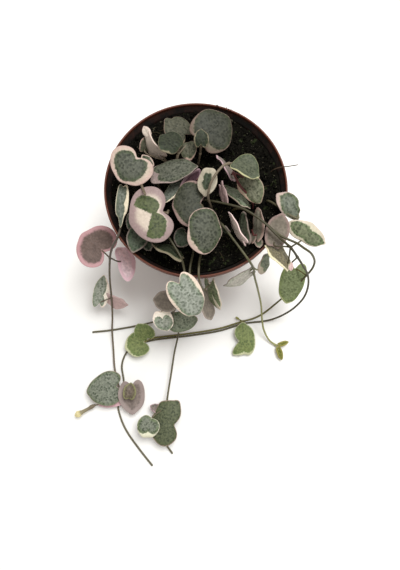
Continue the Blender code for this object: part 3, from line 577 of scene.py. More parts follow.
def painted(name, group, values, roughness, specular, relief):
    """Material whose colour, relief and maybe roughness a group makes from the given values."""
    material, nodes, shader = new_material(name, roughness, specular)
    paint = nodes.add("Group", enumerate(values), node_tree=group).outputs
    cover(nodes, shader, paint["Color"], paint["Height"], relief)
    if "Roughness" in paint:
        nodes.feed(shader["Roughness"], paint["Roughness"])
    return material


# Surfaces

def unit(vectors):
    """Vectors made one long."""
    return vectors / np.linalg.norm(vectors, axis=-1, keepdims=True)


def around(count):
    """Angles evenly round a full turn."""
    return np.linspace(0, 2 * math.pi, count, endpoint=False)


# Directions of which one is never along a path
GUIDES = unit(np.array([(1, 0.2, 0.1), (0.1, 1, 0.3), (0.2, -0.1, 1), (1, 1, 0.2), (1, -1, 0.3),
                        (0.3, 1, 1), (-0.2, 1, -1), (1, 0.1, 1), (1, 0.2, -1)]))


def skin(grid, material=0, **fields):
    """Closed skin on a grid of points whose first row is one point and whose last row is one point.

    Columns run round, counterclockwise as seen from the last row, so that the faces look outwards.
    """
    rows, columns = grid.shape[:2]

    def flat(values):
        values = np.broadcast_to(values, (rows, columns) + np.shape(values)[2:])
        return np.concatenate([values[:1, 0], values[1:-1].reshape((-1,) + values.shape[2:]),
                               values[-1:, 0]])

    index = 1 + np.arange((rows - 2) * columns).reshape(rows - 2, columns)
    after = np.roll(index, -1, axis=1)
    last = np.full(columns, (rows - 2) * columns + 1)
    quads = np.stack([index[:-1], after[:-1], after[1:], index[1:]], axis=-1).reshape(-1, 4)
    first_fan = np.stack([after[0], index[0], 0 * last], axis=-1)
    last_fan = np.stack([index[-1], after[-1], last], axis=-1)
    return {"points": flat(grid), "quads": quads, "tris": np.concatenate([first_fan, last_fan]),
            "material": material, "fields": {name: flat(values) for name, values in fields.items()}}


def add_piece(name, skins, materials, slot, *nodes):
    """Put skins into one mesh that rides on the part and stands for the given nodes."""
    starts = np.cumsum([0] + [len(part["points"]) for part in skins])
    points = np.concatenate([part["points"] for part in skins])
    quads = np.concatenate([part["quads"] + start for part, start in zip(skins, starts)])
    tris = np.concatenate([part["tris"] + start for part, start in zip(skins, starts)])
    mesh = bpy.data.meshes.new(name)
    mesh.vertices.add(len(points))
    mesh.vertices.foreach_set("co", (points * MM).ravel())
    mesh.loops.add(4 * len(quads) + 3 * len(tris))
    mesh.loops.foreach_set("vertex_index", np.concatenate([quads.ravel(), tris.ravel()]))
    mesh.polygons.add(len(quads) + len(tris))
    corners = np.concatenate([4 * np.arange(len(quads)), 4 * len(quads) + 3 * np.arange(len(tris))])
    mesh.polygons.foreach_set("loop_start", corners)
    for title in skins[0]["fields"]:
        values = np.concatenate([part["fields"][title] for part in skins])
        kind, key = ("FLOAT_VECTOR", "vector") if values.ndim == 2 else ("FLOAT", "value")
        mesh.attributes.new(title, kind, "POINT").data.foreach_set(key, values.ravel())
    for material in materials:
        mesh.materials.append(material)
    kinds = np.concatenate([np.full(len(part[faces]), part["material"])
                            for faces in ("quads", "tris") for part in skins])
    mesh.polygons.foreach_set("material_index", kinds)
    mesh.update(calc_edges=True)
    mesh.shade_smooth()
    item = bpy.data.objects.new(name, mesh)
    bpy.context.scene.collection.objects.link(item)
    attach(item, "root")
    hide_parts(*nodes)
    return item


def smooth_path(points, spacing):
    """Points about one spacing apart along a curve through the given ones.

    Between two knots it is the cubic with their places and with slopes taken from their
    neighbours, shared out by distance.
    """
    knots = np.array(points, float)
    ends = np.concatenate([[2 * knots[0] - knots[1]], knots, [2 * knots[-1] - knots[-2]]])
    path = [knots[:1]]
    for before, start, stop, after in zip(ends, ends[1:], ends[2:], ends[3:]):
        length = np.linalg.norm(stop - start)
        pull_out = (stop - before) / (length + np.linalg.norm(start - before)) * length
        pull_in = (after - start) / (length + np.linalg.norm(after - stop)) * length
        count = max(1, round(length / spacing))
        t = (np.arange(1, count + 1) / count)[:, None]
        path.append((2 * t**3 - 3 * t**2 + 1) * start + (t**3 - 2 * t**2 + t) * pull_out
                    + (3 * t**2 - 2 * t**3) * stop + (t**3 - t**2) * pull_in)
    return np.concatenate(path)


def rooted_path(root, route, spacing):
    """Path of a stem that starts down in its hole in the soil."""
    foot = [(*root, SOIL_TOP - HOLE_DEPTH + GAP), (*root, SOIL_TOP + ROOT_RISE)]
    return smooth_path(foot + route, spacing)


def tube(path, radius, sides=STEM_SIDES, lobes=1.0, **fields):
    """Round tube along a path, with domed ends.

    A ring stands square to the path at each of its points: its centre plus the radius there times
    the cosine and sine of the angle along two directions square to the path. A dome's rings tilt
    from the end of the path towards the first or last ring. lobes is a factor on the radius for
    each point and side.
    """
    path = np.asarray(path, float)
    count = len(path)
    forward = unit(np.gradient(path, axis=0))
    guide = GUIDES[np.argmin(np.abs(GUIDES @ forward.T).max(axis=1))]
    left = unit(np.cross(forward, guide))
    up = np.cross(forward, left)
    radius = np.broadcast_to(radius, (count,)).astype(float)
    angle = around(sides)[None, :, None]
    spokes = np.cos(angle) * left[:, None] + np.sin(angle) * up[:, None]
    rings = path[:, None] + (radius[:, None] * lobes)[..., None] * spokes

    def dome(end, way, tilts):
        return [path[end] + radius[end] * (np.sin(t) * spokes[end] + way * np.cos(t) * forward[end])
                for t in tilts]

    grid = np.concatenate([dome(0, -1, DOME_TILTS), rings, dome(-1, 1, DOME_TILTS[::-1])])
    spread = np.clip(np.arange(len(grid)) - len(DOME_TILTS), 0, count - 1)
    return skin(grid, **{name: np.broadcast_to(values, (count,))[spread][:, None]
                         for name, values in fields.items()})


# Leaves

def leaf_directions(leaf):
    """The leaf's base, its three directions and its length."""
    base = np.array(leaf.base, float)
    along = np.array(leaf.tip, float) - base
    length = np.linalg.norm(along)
    along = along / length
    up = unit(np.array([0.0, 0.0, 1.0]) - along[2] * along)
    right = np.cross(along, up)
    turn = math.radians(leaf.roll)
    normal = math.cos(turn) * up + math.sin(turn) * right
    return base, along, np.cross(normal, along), normal, length


def off_compass(leaf, angle, compass):
    """How far an angle round the blade lies from a compass direction, at most half a turn."""
    _, along, side, _, _ = leaf_directions(leaf)
    way = np.array([math.cos(math.radians(compass)), math.sin(math.radians(compass)), 0.0])
    return (angle - math.atan2(way @ side, way @ along) + math.pi) % (2 * math.pi) - math.pi


def bell(leaf, angle, compass, spread):
    """A bell round a compass direction: 1 there, and less away from it round the blade."""
    return np.exp(-(off_compass(leaf, angle, compass) / math.radians(spread)) ** 2)


def heart_outline(leaf, angle):
    """Distance from the blade's middle to its edge at an angle from the tip, as a share.

    It is 1, less a bell round the stalk's end for the notch, plus a narrow bell at the tip, and
    each bulge multiplies it by 1 plus a bell round its compass direction.
    """
    back = (math.pi - np.abs(angle)) / NOTCH_WIDTH
    front = angle / TIP_WIDTH
    outline = 1.0 - leaf.notch * np.exp(-back**2) + TIP_POINT * np.exp(-front**2)
    for compass, spread, extra in leaf.bulges:
        outline = outline * (1.0 + extra * bell(leaf, angle, compass, spread))
    return outline


def pale_margin(leaf, angle, share, radius):
    """Millimetres inside the pale edge: its depth less the distance from the blade's edge.

    The depth is the plain rim plus a bell round each band's compass direction. A wedge is pale
    wherever the angle is nearer to its direction than its half angle.
    """
    depth = leaf.rim + 0.0 * angle
    for compass, spread, extra in leaf.bands:
        depth = depth + extra * bell(leaf, angle, compass, spread)
    margin = depth - (1.0 - share) * radius
    for compass, half in leaf.wedges:
        apart = np.abs(off_compass(leaf, angle, compass))
        margin = np.maximum(margin, (math.radians(half) - apart) * share * radius)
    return margin


def blade(leaf, number, material):
    """Closed skin of one heart-shaped blade.

    A point is given by the angle round the blade's middle, 0 towards the tip, and by a tilt that
    runs from 180 degrees, the middle of the underside, to 0, the middle of the upper side. Its
    share of the way out to the edge is the sine of the tilt. The middle surface is arched along
    its length, bent across its width and wavy at its edge, and the half thickness is the blade's
    times the cosine of the tilt to a power. A groove follows the midrib. own, drawn for each leaf,
    shifts its waves by about a turn at most and sets how light it is.
    """
    base, along, side, normal, length = leaf_directions(leaf)
    half = length / (2.0 - leaf.notch + TIP_POINT)
    own = np.random.default_rng(LEAF_SEED + number).random(5)
    shift = WAVE_SHIFT * own
    tilt = np.linspace(math.pi, 0.0, 2 * LEAF_RINGS + 1)[:, None]
    angle = np.linspace(-math.pi, math.pi, LEAF_ANGLES, endpoint=False)[None, :]
    share = np.sin(tilt)
    uneven = UNEVEN * np.sin(3 * angle + shift[0]) + UNEVEN * np.sin(5 * angle + shift[1])
    outline = heart_outline(leaf, angle) * (1.0 + uneven)
    edge_x = half * np.cos(angle) * outline
    edge_y = 0.5 * leaf.width * np.sin(angle) * outline
    flat_x = half * (1.0 - leaf.notch) + edge_x * share
    flat_y = edge_y * share
    lift = 4.0 * leaf.arch * length * (flat_x / length) * (1.0 - flat_x / length)
    wave = EDGE_WAVE * half * share**3
    lift = lift + wave * (np.sin(4 * angle + shift[2]) + 0.6 * np.sin(7 * angle + shift[3]))
    curl = leaf.curl if abs(leaf.curl) > LEAST_CURL else LEAST_CURL
    bend = math.radians(curl) / leaf.width
    across = np.sin(bend * flat_y) / bend
    lift = lift + (1.0 - np.cos(bend * flat_y)) / bend
    groove = GROOVE_DEPTH * np.exp(-(flat_y / GROOVE_WIDTH) ** 2) * (1.0 - share**6)
    face = np.cos(tilt)
    offset = 0.5 * LEAF_THICKNESS * np.sign(face) * np.abs(face) ** EDGE_POWER - groove
    ahead, across, lift, offset, turn = (
        values[..., None] for values in (flat_x, across, lift, offset, bend * flat_y))
    middle = base + ahead * along + across * side + lift * normal
    grid = middle + offset * (np.cos(turn) * normal - np.sin(turn) * side)
    place = np.stack([flat_x + PATTERN_SHIFT[0] * number, flat_y + PATTERN_SHIFT[1] * number,
                      0.0 * flat_x], axis=-1)
    margin = pale_margin(leaf, angle, share, np.hypot(edge_x, edge_y))
    return skin(grid, material, leaf_place=place, margin=margin, share=share + 0 * angle,
                underside=(tilt > 0.5 * math.pi) + 0 * angle, tone=own[4] + 0 * flat_x)


def blade_paint(n, given):
    """Paint of a variegated blade.

    The upper side is cloudy ground with dark flecks, greener by the pale edge; the pale edge has a
    ragged border and a blush at its rim. The underside is plain with a paler rim.
    """
    place = n.field("leaf_place", "Vector")
    margin, share, underside, tone = map(n.field, ("margin", "share", "underside", "tone"))
    broad = n.noise(place, 0.32)
    cloud = n.noise(place, 0.9, 3.0)
    grain = n.noise(place, 2.6, 3.0, 0.6)

    swirl = n.add("TexNoise", {"Vector": place, "Scale": 1.1, "Detail": 2.0}).outputs["Color"]
    bent = n.add("VectorMath", {0: swirl, 1: (1.5, 1.5, 0.0), 2: place}, operation="MULTIPLY_ADD")
    cells = n.add("TexVoronoi", {"Vector": bent.outputs[0], "Scale": 0.78}, voronoi_dimensions="2D")
    strong = n.add("SeparateXYZ", {0: cells.outputs["Color"]}).outputs[0]
    dots = n.step(cells.outputs["Distance"], 0.26, 0.56, 1.0, 0.0)
    dots = n.times(dots, n.step(strong, 0.05, 0.5, 0.35, 1.0))
    flecks = n.times(dots, n.step(broad, 0.34, 0.6, 0.3, 1.0), FLECK_STRENGTH)
    ground = n.shade(given["Ground"], n.step(cloud, 0.3, 0.7, 0.8, 1.2))
    ragged = n.about_zero(cloud, 2.4)
    near = n.times(n.step(n.plus(margin, ragged), -2.6, 0.0), n.step(broad, 0.3, 0.6, 0.35, 1.0))
    ground = n.blend(near, ground, given["Fresh"])
    ground = n.blend(flecks, ground, given["Fleck"])

    border = n.plus(margin, n.times(ragged, 0.6), n.about_zero(grain, 0.9))
    turning = n.calc("SUBTRACT", share, given["Blush from"])
    turning = n.plus(turning, n.about_zero(cloud, 0.3))
    cream = n.blend(n.step(turning, 0.0, 0.26), given["Cream"], given["Blush"])
    cream = n.shade(cream, n.step(cloud, 0.3, 0.75, 0.9, 1.06))
    top = n.blend(n.step(border, -0.25, 0.45), ground, cream)
    top = n.blend(n.step(share, 0.955, 0.985, 0.0, 0.5), top, given["Blush"])

    back = n.shade(given["Back"], n.step(cloud, 0.25, 0.75, 0.82, 1.16))
    back = n.shade(back, n.step(broad, 0.35, 0.65, 0.85, 1.1))
    back = n.blend(n.step(border, -0.9, 0.7), back, given["Back rim"])
    paint = n.blend(n.step(underside, 0.35, 0.65), top, back)
    height = n.calc("MULTIPLY_ADD", grain, 0.35, n.times(cloud, 0.65))
    return {"Color": n.shade(paint, n.step(tone, 0.0, 1.0, 0.92, 1.08)),
            "Height": n.calc("MULTIPLY_ADD", flecks, -0.25, height),
            "Roughness": n.step(grain, 0.2, 0.8, 0.44, 0.58)}


def bark_paint(n, given):
    """Paint of stems and stalks: one colour at the soil and one at the tip, with streaks."""
    place = n.place()
    grain = n.noise(place, 1600.0, 3.0)
    share = n.plus(n.field("growth"), n.about_zero(n.noise(place, 350.0, 3.0), 0.5))
    paint = n.blend(n.step(share, 0.0, 1.0), given["Old"], given["Young"])
    return {"Color": n.shade(paint, n.step(grain, 0.3, 0.7, 0.85, 1.15)), "Height": grain}


def stalk_path(joint, leaf):
    """A stalk from the stem that bends into the leaf's notch: a cubic with four pulling points.

    It leaves the stem a little upwards and ends inside the blade, coming from below.
    """
    base, along, _, normal, _ = leaf_directions(leaf)
    end = base + STALK_BURIED * along
    reach = np.linalg.norm(end - joint)
    first = joint + 0.4 * (end - joint) + np.array([0.0, 0.0, 0.15 * reach])
    last = end - 0.35 * reach * along - 0.12 * reach * normal
    count = max(6, round(1.3 * reach))
    t = np.linspace(0.0, 1.0, count)[:, None]
    return ((1 - t) ** 3 * joint + 3 * (1 - t) ** 2 * t * first + 3 * (1 - t) * t**2 * last
            + t**3 * end)


def stem_skins(stem):
    """The stem and its stalks: round tubes, thicker at the joints and at both ends of a stalk."""
    path = rooted_path(stem.root, stem.route, PATH_STEP)
    walked = np.concatenate([[0.0], np.cumsum(np.linalg.norm(np.diff(path, axis=0), axis=1))])
    growth = walked / walked[-1]
    joints = np.array([stem.route[leaf.joint] for leaf in stem.leaves], float)
    apart = np.linalg.norm(path[:, None] - joints[None], axis=-1)
    swell = JOINT_SWELL * np.exp(-(apart.min(axis=1) / JOINT_REACH) ** 2)
    skins = [tube(path, STEM_RADIUS * (1.0 + swell), growth=growth)]
    for leaf, joint, start in zip(stem.leaves, joints, growth[apart.argmin(axis=0)]):
        stalk = stalk_path(joint, leaf)
        share = np.linspace(0.0, 1.0, len(stalk))
        radius = STALK_RADIUS * (1.0 + STALK_SWELL * (2 * share - 1) ** 4)
        skins.append(tube(stalk, radius, growth=start + 0.3 * share))
    return skins


def make_plant():
    """Every leafy stem: one piece for its stem and stalks, and one for its blades."""
    leaf_inputs = dict.fromkeys(LEAF_PARTS, "Color") | {"Blush from": "Float"}
    leaf_group = make_group("blade_paint", leaf_inputs, blade_paint)
    bark_group = make_group("bark_paint", {"Old": "Color", "Young": "Color"}, bark_paint)
    barks, kinds = {}, {}
    for name, codes in BARKS.items():
        barks[name] = painted("stem_" + name, bark_group, colours(codes),
                              roughness=0.5, specular=0.4, relief=0.06)
    for name, codes in LOOKS.items():
        values = [*colours(codes), BLUSH_FROM.get(name, PLAIN_BLUSH_FROM)]
        kinds[name] = painted("leaf_" + name, leaf_group, values,
                              roughness=0.5, specular=0.2, relief=0.25)
    number = 0
    for name, stem in STEMS.items():
        add_piece(name + "_vine", stem_skins(stem), [barks[stem.bark]], "foliage", name)
        looks = list(dict.fromkeys(leaf.look for leaf in stem.leaves))
        blades = []
        for leaf in stem.leaves:
            number += 1
            blades.append(blade(leaf, number, looks.index(leaf.look)))
        add_piece(name + "_leaves", blades, [kinds[look] for look in looks], "foliage", name)


def make_flower():
    """A faded flower: a narrow brown tube that swells at its foot and opens to a pale mouth.

    Its radius is a table along its length, with soft lobes that grow towards the mouth.
    """
    start = np.array(STEMS[FLOWER_STEM].route[FLOWER_JOINT], float)
    neck, mouth = np.array(FLOWER_NECK, float), np.array(FLOWER_MOUTH, float)
    bow = 0.5 * (start + neck) + np.array(FLOWER_BOW)
    stalk = smooth_path([start, bow, neck + unit(mouth - neck)], PATH_STEP)
    share = np.linspace(0.0, 1.0, FLOWER_RINGS)
    path = neck + share[:, None] * (mouth - neck)
    depth = LOBE_DEPTHS[0] + LOBE_DEPTHS[1] * share[:, None] ** 3
    lobes = 1.0 + depth * np.cos(FLOWER_LOBES * around(FLOWER_SIDES))
    material, n, shader = new_material("faded_flower", 0.6)
    cloud = n.noise(n.place(), 500.0, 3.0)
    split = n.plus(n.field("growth"), n.about_zero(cloud, 0.2))
    tint = n.blend(n.step(split, 0.1, 0.75), colour(FLOWER_FOOT), colour(FLOWER_TUBE))
    tint = n.blend(n.step(split, 0.76, 0.9), tint, colour(FLOWER_PALE))
    cover(n, shader, tint, cloud, 0.1)
    radius = np.interp(share, FLOWER_SHARES, FLOWER_RADII)
    skins = [tube(stalk, STALK_RADIUS, growth=0.0),
             tube(path, radius, FLOWER_SIDES, lobes, growth=share)]
    add_piece("trail_left_flower", skins, [material], "foliage", FLOWER_STEM)


# Pot, soil and the bare stem end

def rounded(profile):
    """A section with its corners rounded: each corner becomes a short curve."""
    points = np.array(profile, float)
    before, corner, after = points[:-2], points[1:-1], points[2:]
    to_before, to_after = before - corner, after - corner
    reach = np.minimum(np.linalg.norm(to_before, axis=1), np.linalg.norm(to_after, axis=1))
    cut = np.minimum(CORNER_RADIUS, CORNER_SHARE * reach)[:, None]
    start, stop = corner + cut * unit(to_before), corner + cut * unit(to_after)
    t = np.linspace(0.0, 1.0, CORNER_POINTS)[None, :, None]
    curve = (1 - t) ** 2 * start[:, None] + 2 * t * (1 - t) * corner[:, None] + t**2 * stop[:, None]
    return np.concatenate([points[:1], curve.reshape(-1, 2), points[-1:]])


def polar(out, turn):
    """Places at a distance from the upright axis and at an angle round it."""
    return out * np.cos(turn), out * np.sin(turn)


def turned(section, columns):
    """Grid of a section of (radius, height) points turned about the upright axis.

    For a closed skin the section starts and ends on the axis, and its outside is on the right on
    the way.
    """
    x, y = polar(section[:, :1], around(columns))
    return np.stack([x, y, np.repeat(section[:, 1:], columns, axis=1)], axis=-1)


def apply_cut(item, cutters):
    """Cut each of the cutters from a piece and keep the result in its mesh."""
    for cutter in cutters:
        cut = item.modifiers.new("cut", "BOOLEAN")
        cut.operation = "DIFFERENCE"
        cut.object = cutter
        cut.solver = "EXACT"
    graph = bpy.context.evaluated_depsgraph_get()
    mesh = bpy.data.meshes.new_from_object(item.evaluated_get(graph))
    item.modifiers.clear()
    item.data = mesh
    for cutter in cutters:
        bpy.data.objects.remove(cutter)


def pot_material():
    """Terracotta-coloured plastic: brown with redder wear on the rim, soil dust and dried water.

    A point is inside where it is nearer to the axis than the middle of the wall at its height.
    """
    material, n, shader = new_material("pot_plastic", 0.45, 0.25)
    place = n.place()
    x, y, z = n.add("SeparateXYZ", {0: place}).outputs
    broad = n.noise(place, 45.0, 3.0)
    cloud = n.noise(place, 260.0, 4.0, 0.6)
    grain = n.noise(place, 2400.0)

    def rise(low, high, start=0.0, stop=1.0):
        """A soft step from one height to another, in millimetres."""
        return n.step(z, low * MM, high * MM, start, stop)

    top, band = POT_HEIGHT, POT_HEIGHT - RIM_BAND
    tint = n.blend(n.step(broad, 0.35, 0.65), *colours(WALL_BROWNS))
    tint = n.blend(rise(band - 1.0, band + 0.3), tint, colour(BAND_BROWN))
    worn = n.times(rise(top - 1.0, top - 0.2), n.step(cloud, 0.35, 0.6, 0.2, 0.8))
    tint = n.blend(worn, tint, colour(WORN_BROWN))
    slope = (RIM_RADIUS - RIM_OVERHANG - BASE_RADIUS) / band
    middle = n.calc("MULTIPLY_ADD", z, slope, (BASE_RADIUS - 0.5 * WALL) * MM)
    middle = n.plus(middle, rise(band - 0.1, band + 0.2, 0.0, 1.4 * MM))
    out = n.calc("SQRT", n.calc("MULTIPLY_ADD", x, x, n.times(y, y)))
    inside = n.step(n.calc("SUBTRACT", middle, out), -0.1 * MM, 0.1 * MM)
    inside = n.times(inside, rise(top, top - 2.0), rise(0.6, 1.2))
    dirt = n.times(inside, n.step(cloud, 0.3, 0.62, 0.85, 1.0))
    tint = n.blend(dirt, tint, colour(INNER_DIRT))
    splash = n.times(rise(12.0, 0.0), n.step(cloud, 0.4, 0.65, 0.1, 0.6))
    tint = n.blend(splash, tint, colour(FOOT_SPLASH))
    lime = n.times(n.step(cloud, 0.6, 0.7), n.step(broad, 0.5, 0.62, 0.0, 0.22))
    tint = n.blend(lime, tint, colour(LIME_SPOTS))
    cover(n, shader, tint, n.plus(grain, cloud), 0.03)
    rough = n.calc("MULTIPLY_ADD", dirt, 0.45, n.step(cloud, 0.3, 0.7, 0.36, 0.5))
    n.feed(shader["Roughness"], rough)
    return material


def make_pot():
    """The pot: its section turned about the axis, with rounded corners and drain holes.

    The base stands on two narrow rings with a shallow groove between them.
    """
    top, band, foot = POT_HEIGHT, POT_HEIGHT - RIM_BAND, BASE_RADIUS
    wall = RIM_RADIUS - RIM_OVERHANG
    base = [(0, 0), (foot - 9, 0), (foot - 8, 0.4), (foot - 4, 0.4), (foot - 3, 0), (foot - 0.6, 0)]
    outer = [(foot + 0.1, 1), (wall, band), (RIM_RADIUS, band), (RIM_RADIUS, top - 0.9)]
    lip = [(RIM_RADIUS - 0.1, top), (RIM_RADIUS - 0.9, top), (RIM_RADIUS - WALL, top - 0.9)]
    inner = [(RIM_RADIUS - WALL, band + 2), (wall - WALL, band), (foot - WALL, FLOOR), (0, FLOOR)]
    grid = turned(rounded(base + outer + lip + inner), POT_COLUMNS)
    item = add_piece("nursery_pot", [skin(grid)], [pot_material()], "pot_plastic", "pot")
    cutters = []
    for place in zip(*polar(DRAIN_CIRCLE * MM, around(DRAIN_COUNT))):
        bpy.ops.mesh.primitive_cylinder_add(vertices=DRAIN_SIDES, radius=DRAIN_RADIUS * MM,
                                            depth=4 * FLOOR * MM, location=(*place, 0))
        cutters.append(bpy.context.object)
    apply_cut(item, cutters)
    item.data.shade_smooth()
    item.data.set_sharp_from_angle(angle=math.radians(SHARP_ANGLE))


def lattice(points, scale, seed):
    """Smooth noise from -1 to 1: values on a lattice, eased between its corners."""
    spots = np.asarray(points) * scale
    corner = np.floor(spots).astype(int)
    t = spots - corner
    t = t * t * (3 - 2 * t)
    table = np.random.default_rng(seed).random((LATTICE_CELLS, LATTICE_CELLS)) * 2 - 1
    x, y = corner[..., 0] % LATTICE_CELLS, corner[..., 1] % LATTICE_CELLS
    x1, y1 = (x + 1) % LATTICE_CELLS, (y + 1) % LATTICE_CELLS
    low = table[x, y] * (1 - t[..., 0]) + table[x1, y] * t[..., 0]
    high = table[x, y1] * (1 - t[..., 0]) + table[x1, y1] * t[..., 0]
    return low * (1 - t[..., 1]) + high * t[..., 1]


def soil_level(x, y):
    """Height of the soil: the part's low bumps, fine lumps, heaps and a bank along the wall."""
    level = SOIL_TOP + SOIL_BUMP * (np.sin(0.31 * x + 0.8) * np.cos(0.27 * y)
                                    + 0.6 * np.sin(0.52 * y - 0.3 * x))
    for rise, scale, seed in SOIL_LUMPS:
        level = level + rise * lattice(np.stack([x, y], axis=-1), scale, seed)
    for rise, middle, spread in SOIL_HEAPS:
        off_x, off_y = (x - middle[0]) / spread[0], (y - middle[1]) / spread[1]
        level = level + rise * np.exp(-off_x**2 - off_y**2)
    bank = np.clip((np.hypot(x, y) - BANK_START) / BANK_WIDTH, 0.0, 1.0)
    return level + BANK_RISE * bank**2 * (3 - 2 * bank)


def peat_paint(n, given):
    """Paint of peat: near black with brown, and a few pale and green specks."""
    place = n.place()
    grain = n.noise(place, 900.0, 4.0, 0.65)
    paint = n.blend(n.step(grain, 0.35, 0.7), colour(PEAT_BLACK), colour(PEAT_BROWN))
    damp = n.step(n.noise(place, 130.0, 3.0), 0.5, 0.7, 0.0, 0.5)
    paint = n.blend(damp, paint, colour(PEAT_DAMP))
    specks = n.step(n.noise(place, 620.0, 1.0), 0.69, 0.75, 0.0, 0.7)
    paint = n.blend(specks, paint, colour(PEAT_SPECK))
    green = n.step(n.noise(place, 420.0), 0.62, 0.7, 0.0, 0.5)
    paint = n.blend(green, paint, colour(PEAT_GREEN))
    return {"Color": n.shade(paint, given["Lightness"]), "Height": grain}


def dry_paint(n, given):
    """Paint of small dry bits: one colour, cloudy."""
    cloud = n.noise(n.place(), 900.0, 3.0)
    return {"Color": n.shade(given["Tint"], n.step(cloud, 0.3, 0.7, 0.7, 1.3)), "Height": cloud}


def dry_material(name, dry_group, code, roughness):
    """Material of small dry bits."""
    return painted(name, dry_group, [colour(code)], roughness, specular=0.1, relief=0.1)


def grit(centres, sizes, rng, material):
    """Many rough crumbs: a ball of twenty faces at each centre, turned, stretched and dented."""
    gold = 0.5 * (1 + math.sqrt(5))
    ball = unit(np.array([(-1, gold, 0), (1, gold, 0), (-1, -gold, 0), (1, -gold, 0),
                          (0, -1, gold), (0, 1, gold), (0, -1, -gold), (0, 1, -gold),
                          (gold, 0, -1), (gold, 0, 1), (-gold, 0, -1), (-gold, 0, 1)]))
    faces = np.array([(0, 11, 5), (0, 5, 1), (0, 1, 7), (0, 7, 10), (0, 10, 11), (1, 5, 9),
                      (5, 11, 4), (11, 10, 2), (10, 7, 6), (7, 1, 8), (3, 9, 4), (3, 4, 2),
                      (3, 2, 6), (3, 6, 8), (3, 8, 9), (4, 9, 5), (2, 4, 11), (6, 2, 10),
                      (8, 6, 7), (9, 8, 1)])
    count = len(centres)
    first = unit(rng.normal(size=(count, 3)))
    second = unit(np.cross(first, rng.normal(size=(count, 3))))
    axes = np.stack([first, second, np.cross(first, second)], axis=1)
    stretch = rng.uniform(*CRUMB_STRETCH, (count, 1, 3))
    dents = rng.uniform(*CRUMB_DENTS, (count, len(ball), 1))
    points = centres[:, None] + (ball * stretch * dents) @ axes * sizes[:, None, None]
    tris = faces + (len(ball) * np.arange(count))[:, None, None]
    return {"points": points.reshape(-1, 3), "quads": np.zeros((0, 4), int),
            "tris": tris.reshape(-1, 3), "material": material, "fields": {}}


def scattered(count, rng, radius):
    """Random places on the soil, evenly over a disc."""
    out = radius * np.sqrt(rng.random(count))
    return polar(out, 2 * math.pi * rng.random(count))


def make_soil(dry_group):
    """The soil: a lumpy plug, crumbs of several kinds, and fine dry threads."""
    peat_group = make_group("peat_paint", {"Lightness": "Float"}, peat_paint)
    kinds = {}
    for name, lightness in PEAT_LIGHTNESS.items():
        kinds[name] = painted(name, peat_group, [lightness], roughness=0.92, specular=0.05,
                              relief=0.5)
    for name, code in DRY_CRUMBS.items():
        kinds[name] = dry_material(name, dry_group, code, 0.9)
    rings = np.concatenate([np.linspace(0, SOIL_RADIUS, SOIL_RINGS), [SOIL_RADIUS]])
    x, y = polar(rings[:, None], around(SOIL_COLUMNS))
    z = soil_level(x, y)
    z[-1] = SOIL_TOP - SOIL_EDGE_DROP
    foot = np.array([(0, FLOOR + GAP), (SOIL_FOOT, FLOOR + GAP)])
    grid = np.concatenate([turned(foot, SOIL_COLUMNS), np.stack([x, y, z], axis=-1)[::-1]])
    add_piece("peat_plug", [skin(grid)], [kinds["peat"]], "soil", "soil")

    rng = np.random.default_rng(SOIL_SEED)
    skins = []
    for name, count, small, large in CRUMBS:
        x, y = scattered(count, rng, SOIL_RADIUS - CRUMB_MARGIN)
        size = rng.uniform(small, large, count)
        centres = np.stack([x, y, soil_level(x, y) + CRUMB_LIFT * size], axis=-1)
        skins.append(grit(centres, size, rng, list(kinds).index(name)))
    turn = np.radians(rng.normal(*SPILL_COMPASS, SPILL_COUNT))
    x, y = polar(rng.normal(*SPILL_RADIUS, SPILL_COUNT), turn)
    size = rng.uniform(*SPILL_SIZE, SPILL_COUNT)
    skins.append(grit(np.stack([x, y, POT_HEIGHT + CRUMB_LIFT * size], axis=-1), size, rng, 0))
    add_piece("soil_crumbs", skins, kinds.values(), "soil", "soil")

    threads = []
    t = np.linspace(-0.5, 0.5, THREAD_POINTS)
    for x, y in zip(*scattered(THREAD_COUNT, rng, SOIL_RADIUS - THREAD_MARGIN)):
        heading = 2 * math.pi * rng.random()
        length = rng.uniform(*THREAD_LENGTH)
        bow = rng.uniform(*THREAD_BOW) * (1 - 4 * t**2)
        x = x + length * (t * math.cos(heading) - bow * math.sin(heading))
        y = y + length * (t * math.sin(heading) + bow * math.cos(heading))
        path = np.stack([x, y, soil_level(x, y) + rng.uniform(*THREAD_LIFT)], axis=-1)
        threads.append(tube(path, rng.uniform(*THREAD_RADIUS), THREAD_SIDES))
    dry = dry_material("dry_threads", dry_group, THREAD_BROWN, 0.85)
    add_piece("soil_threads", threads, [dry], "soil", "soil")


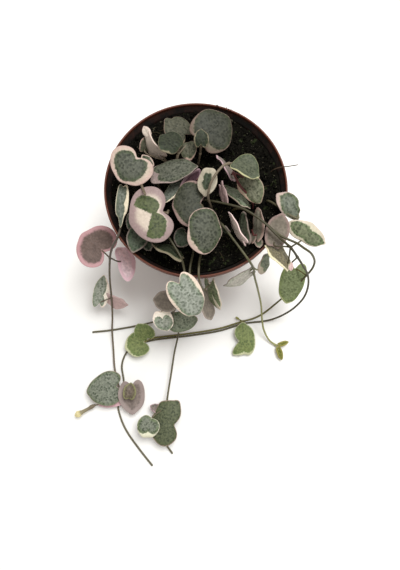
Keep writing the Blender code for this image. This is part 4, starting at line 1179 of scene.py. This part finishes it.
def make_wire(dry_group):
    """The bare stem end over the rim: a thin tube that tapers to its tip."""
    path = rooted_path(WIRE_ROOT, WIRE_ROUTE, WIRE_STEP)
    radius = WIRE_RADIUS * (1 - WIRE_TAPER * np.linspace(0.0, 1.0, len(path)))
    dry = dry_material("dry_stem", dry_group, WIRE_BROWN, 0.7)
    add_piece("dry_stem_end", [tube(path, radius)], [dry], "dry_stem", "wiry_stem_end")


# Setting

def make_setting():
    """Pale floor, soft light and a camera at the photograph's angle."""
    scene = bpy.context.scene
    scene.view_settings.view_transform = "Standard"
    world = bpy.data.worlds.new("studio")
    scene.world = world
    world.use_nodes = True
    room = world.node_tree.nodes["Background"].inputs
    room["Color"].default_value = ROOM_COLOUR
    room["Strength"].default_value = ROOM_STRENGTH
    bpy.ops.mesh.primitive_plane_add(size=SHEET_SIZE, location=(0, 0, 0))
    floor = bpy.context.object
    floor.name = "floor"
    material, _, shader = new_material("floor_paper", 0.8, 0.2)
    shader["Base Color"].default_value = SHEET_COLOUR
    floor.data.materials.append(material)
    lamp = bpy.data.lights.new("window", "AREA")
    lamp.shape = "DISK"
    lamp.size = WINDOW_SIZE
    lamp.energy = WINDOW_POWER
    lamp.color = WINDOW_COLOUR
    window = bpy.data.objects.new("window", lamp)
    scene.collection.objects.link(window)
    window.location = WINDOW_PLACE
    x, y, z = unit(np.array(WINDOW_TARGET) - np.array(WINDOW_PLACE))
    window.rotation_euler = (math.acos(-z), 0.0, math.atan2(y, x) - 0.5 * math.pi)
    lens = bpy.data.cameras.new("camera")
    lens.lens = LENS
    lens.sensor_width = SENSOR
    lens.clip_start = MM
    camera = bpy.data.objects.new("camera", lens)
    scene.collection.objects.link(camera)
    camera.location = CAMERA_PLACE
    camera.rotation_euler = (math.radians(CAMERA_TILT), 0.0, 0.0)
    scene.camera = camera


def main():
    """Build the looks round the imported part."""
    make_setting()
    make_pot()
    dry_group = make_group("dry_paint", {"Tint": "Color"}, dry_paint)
    make_soil(dry_group)
    make_plant()
    make_flower()
    make_wire(dry_group)


main()
bpy.context.view_layer.update()
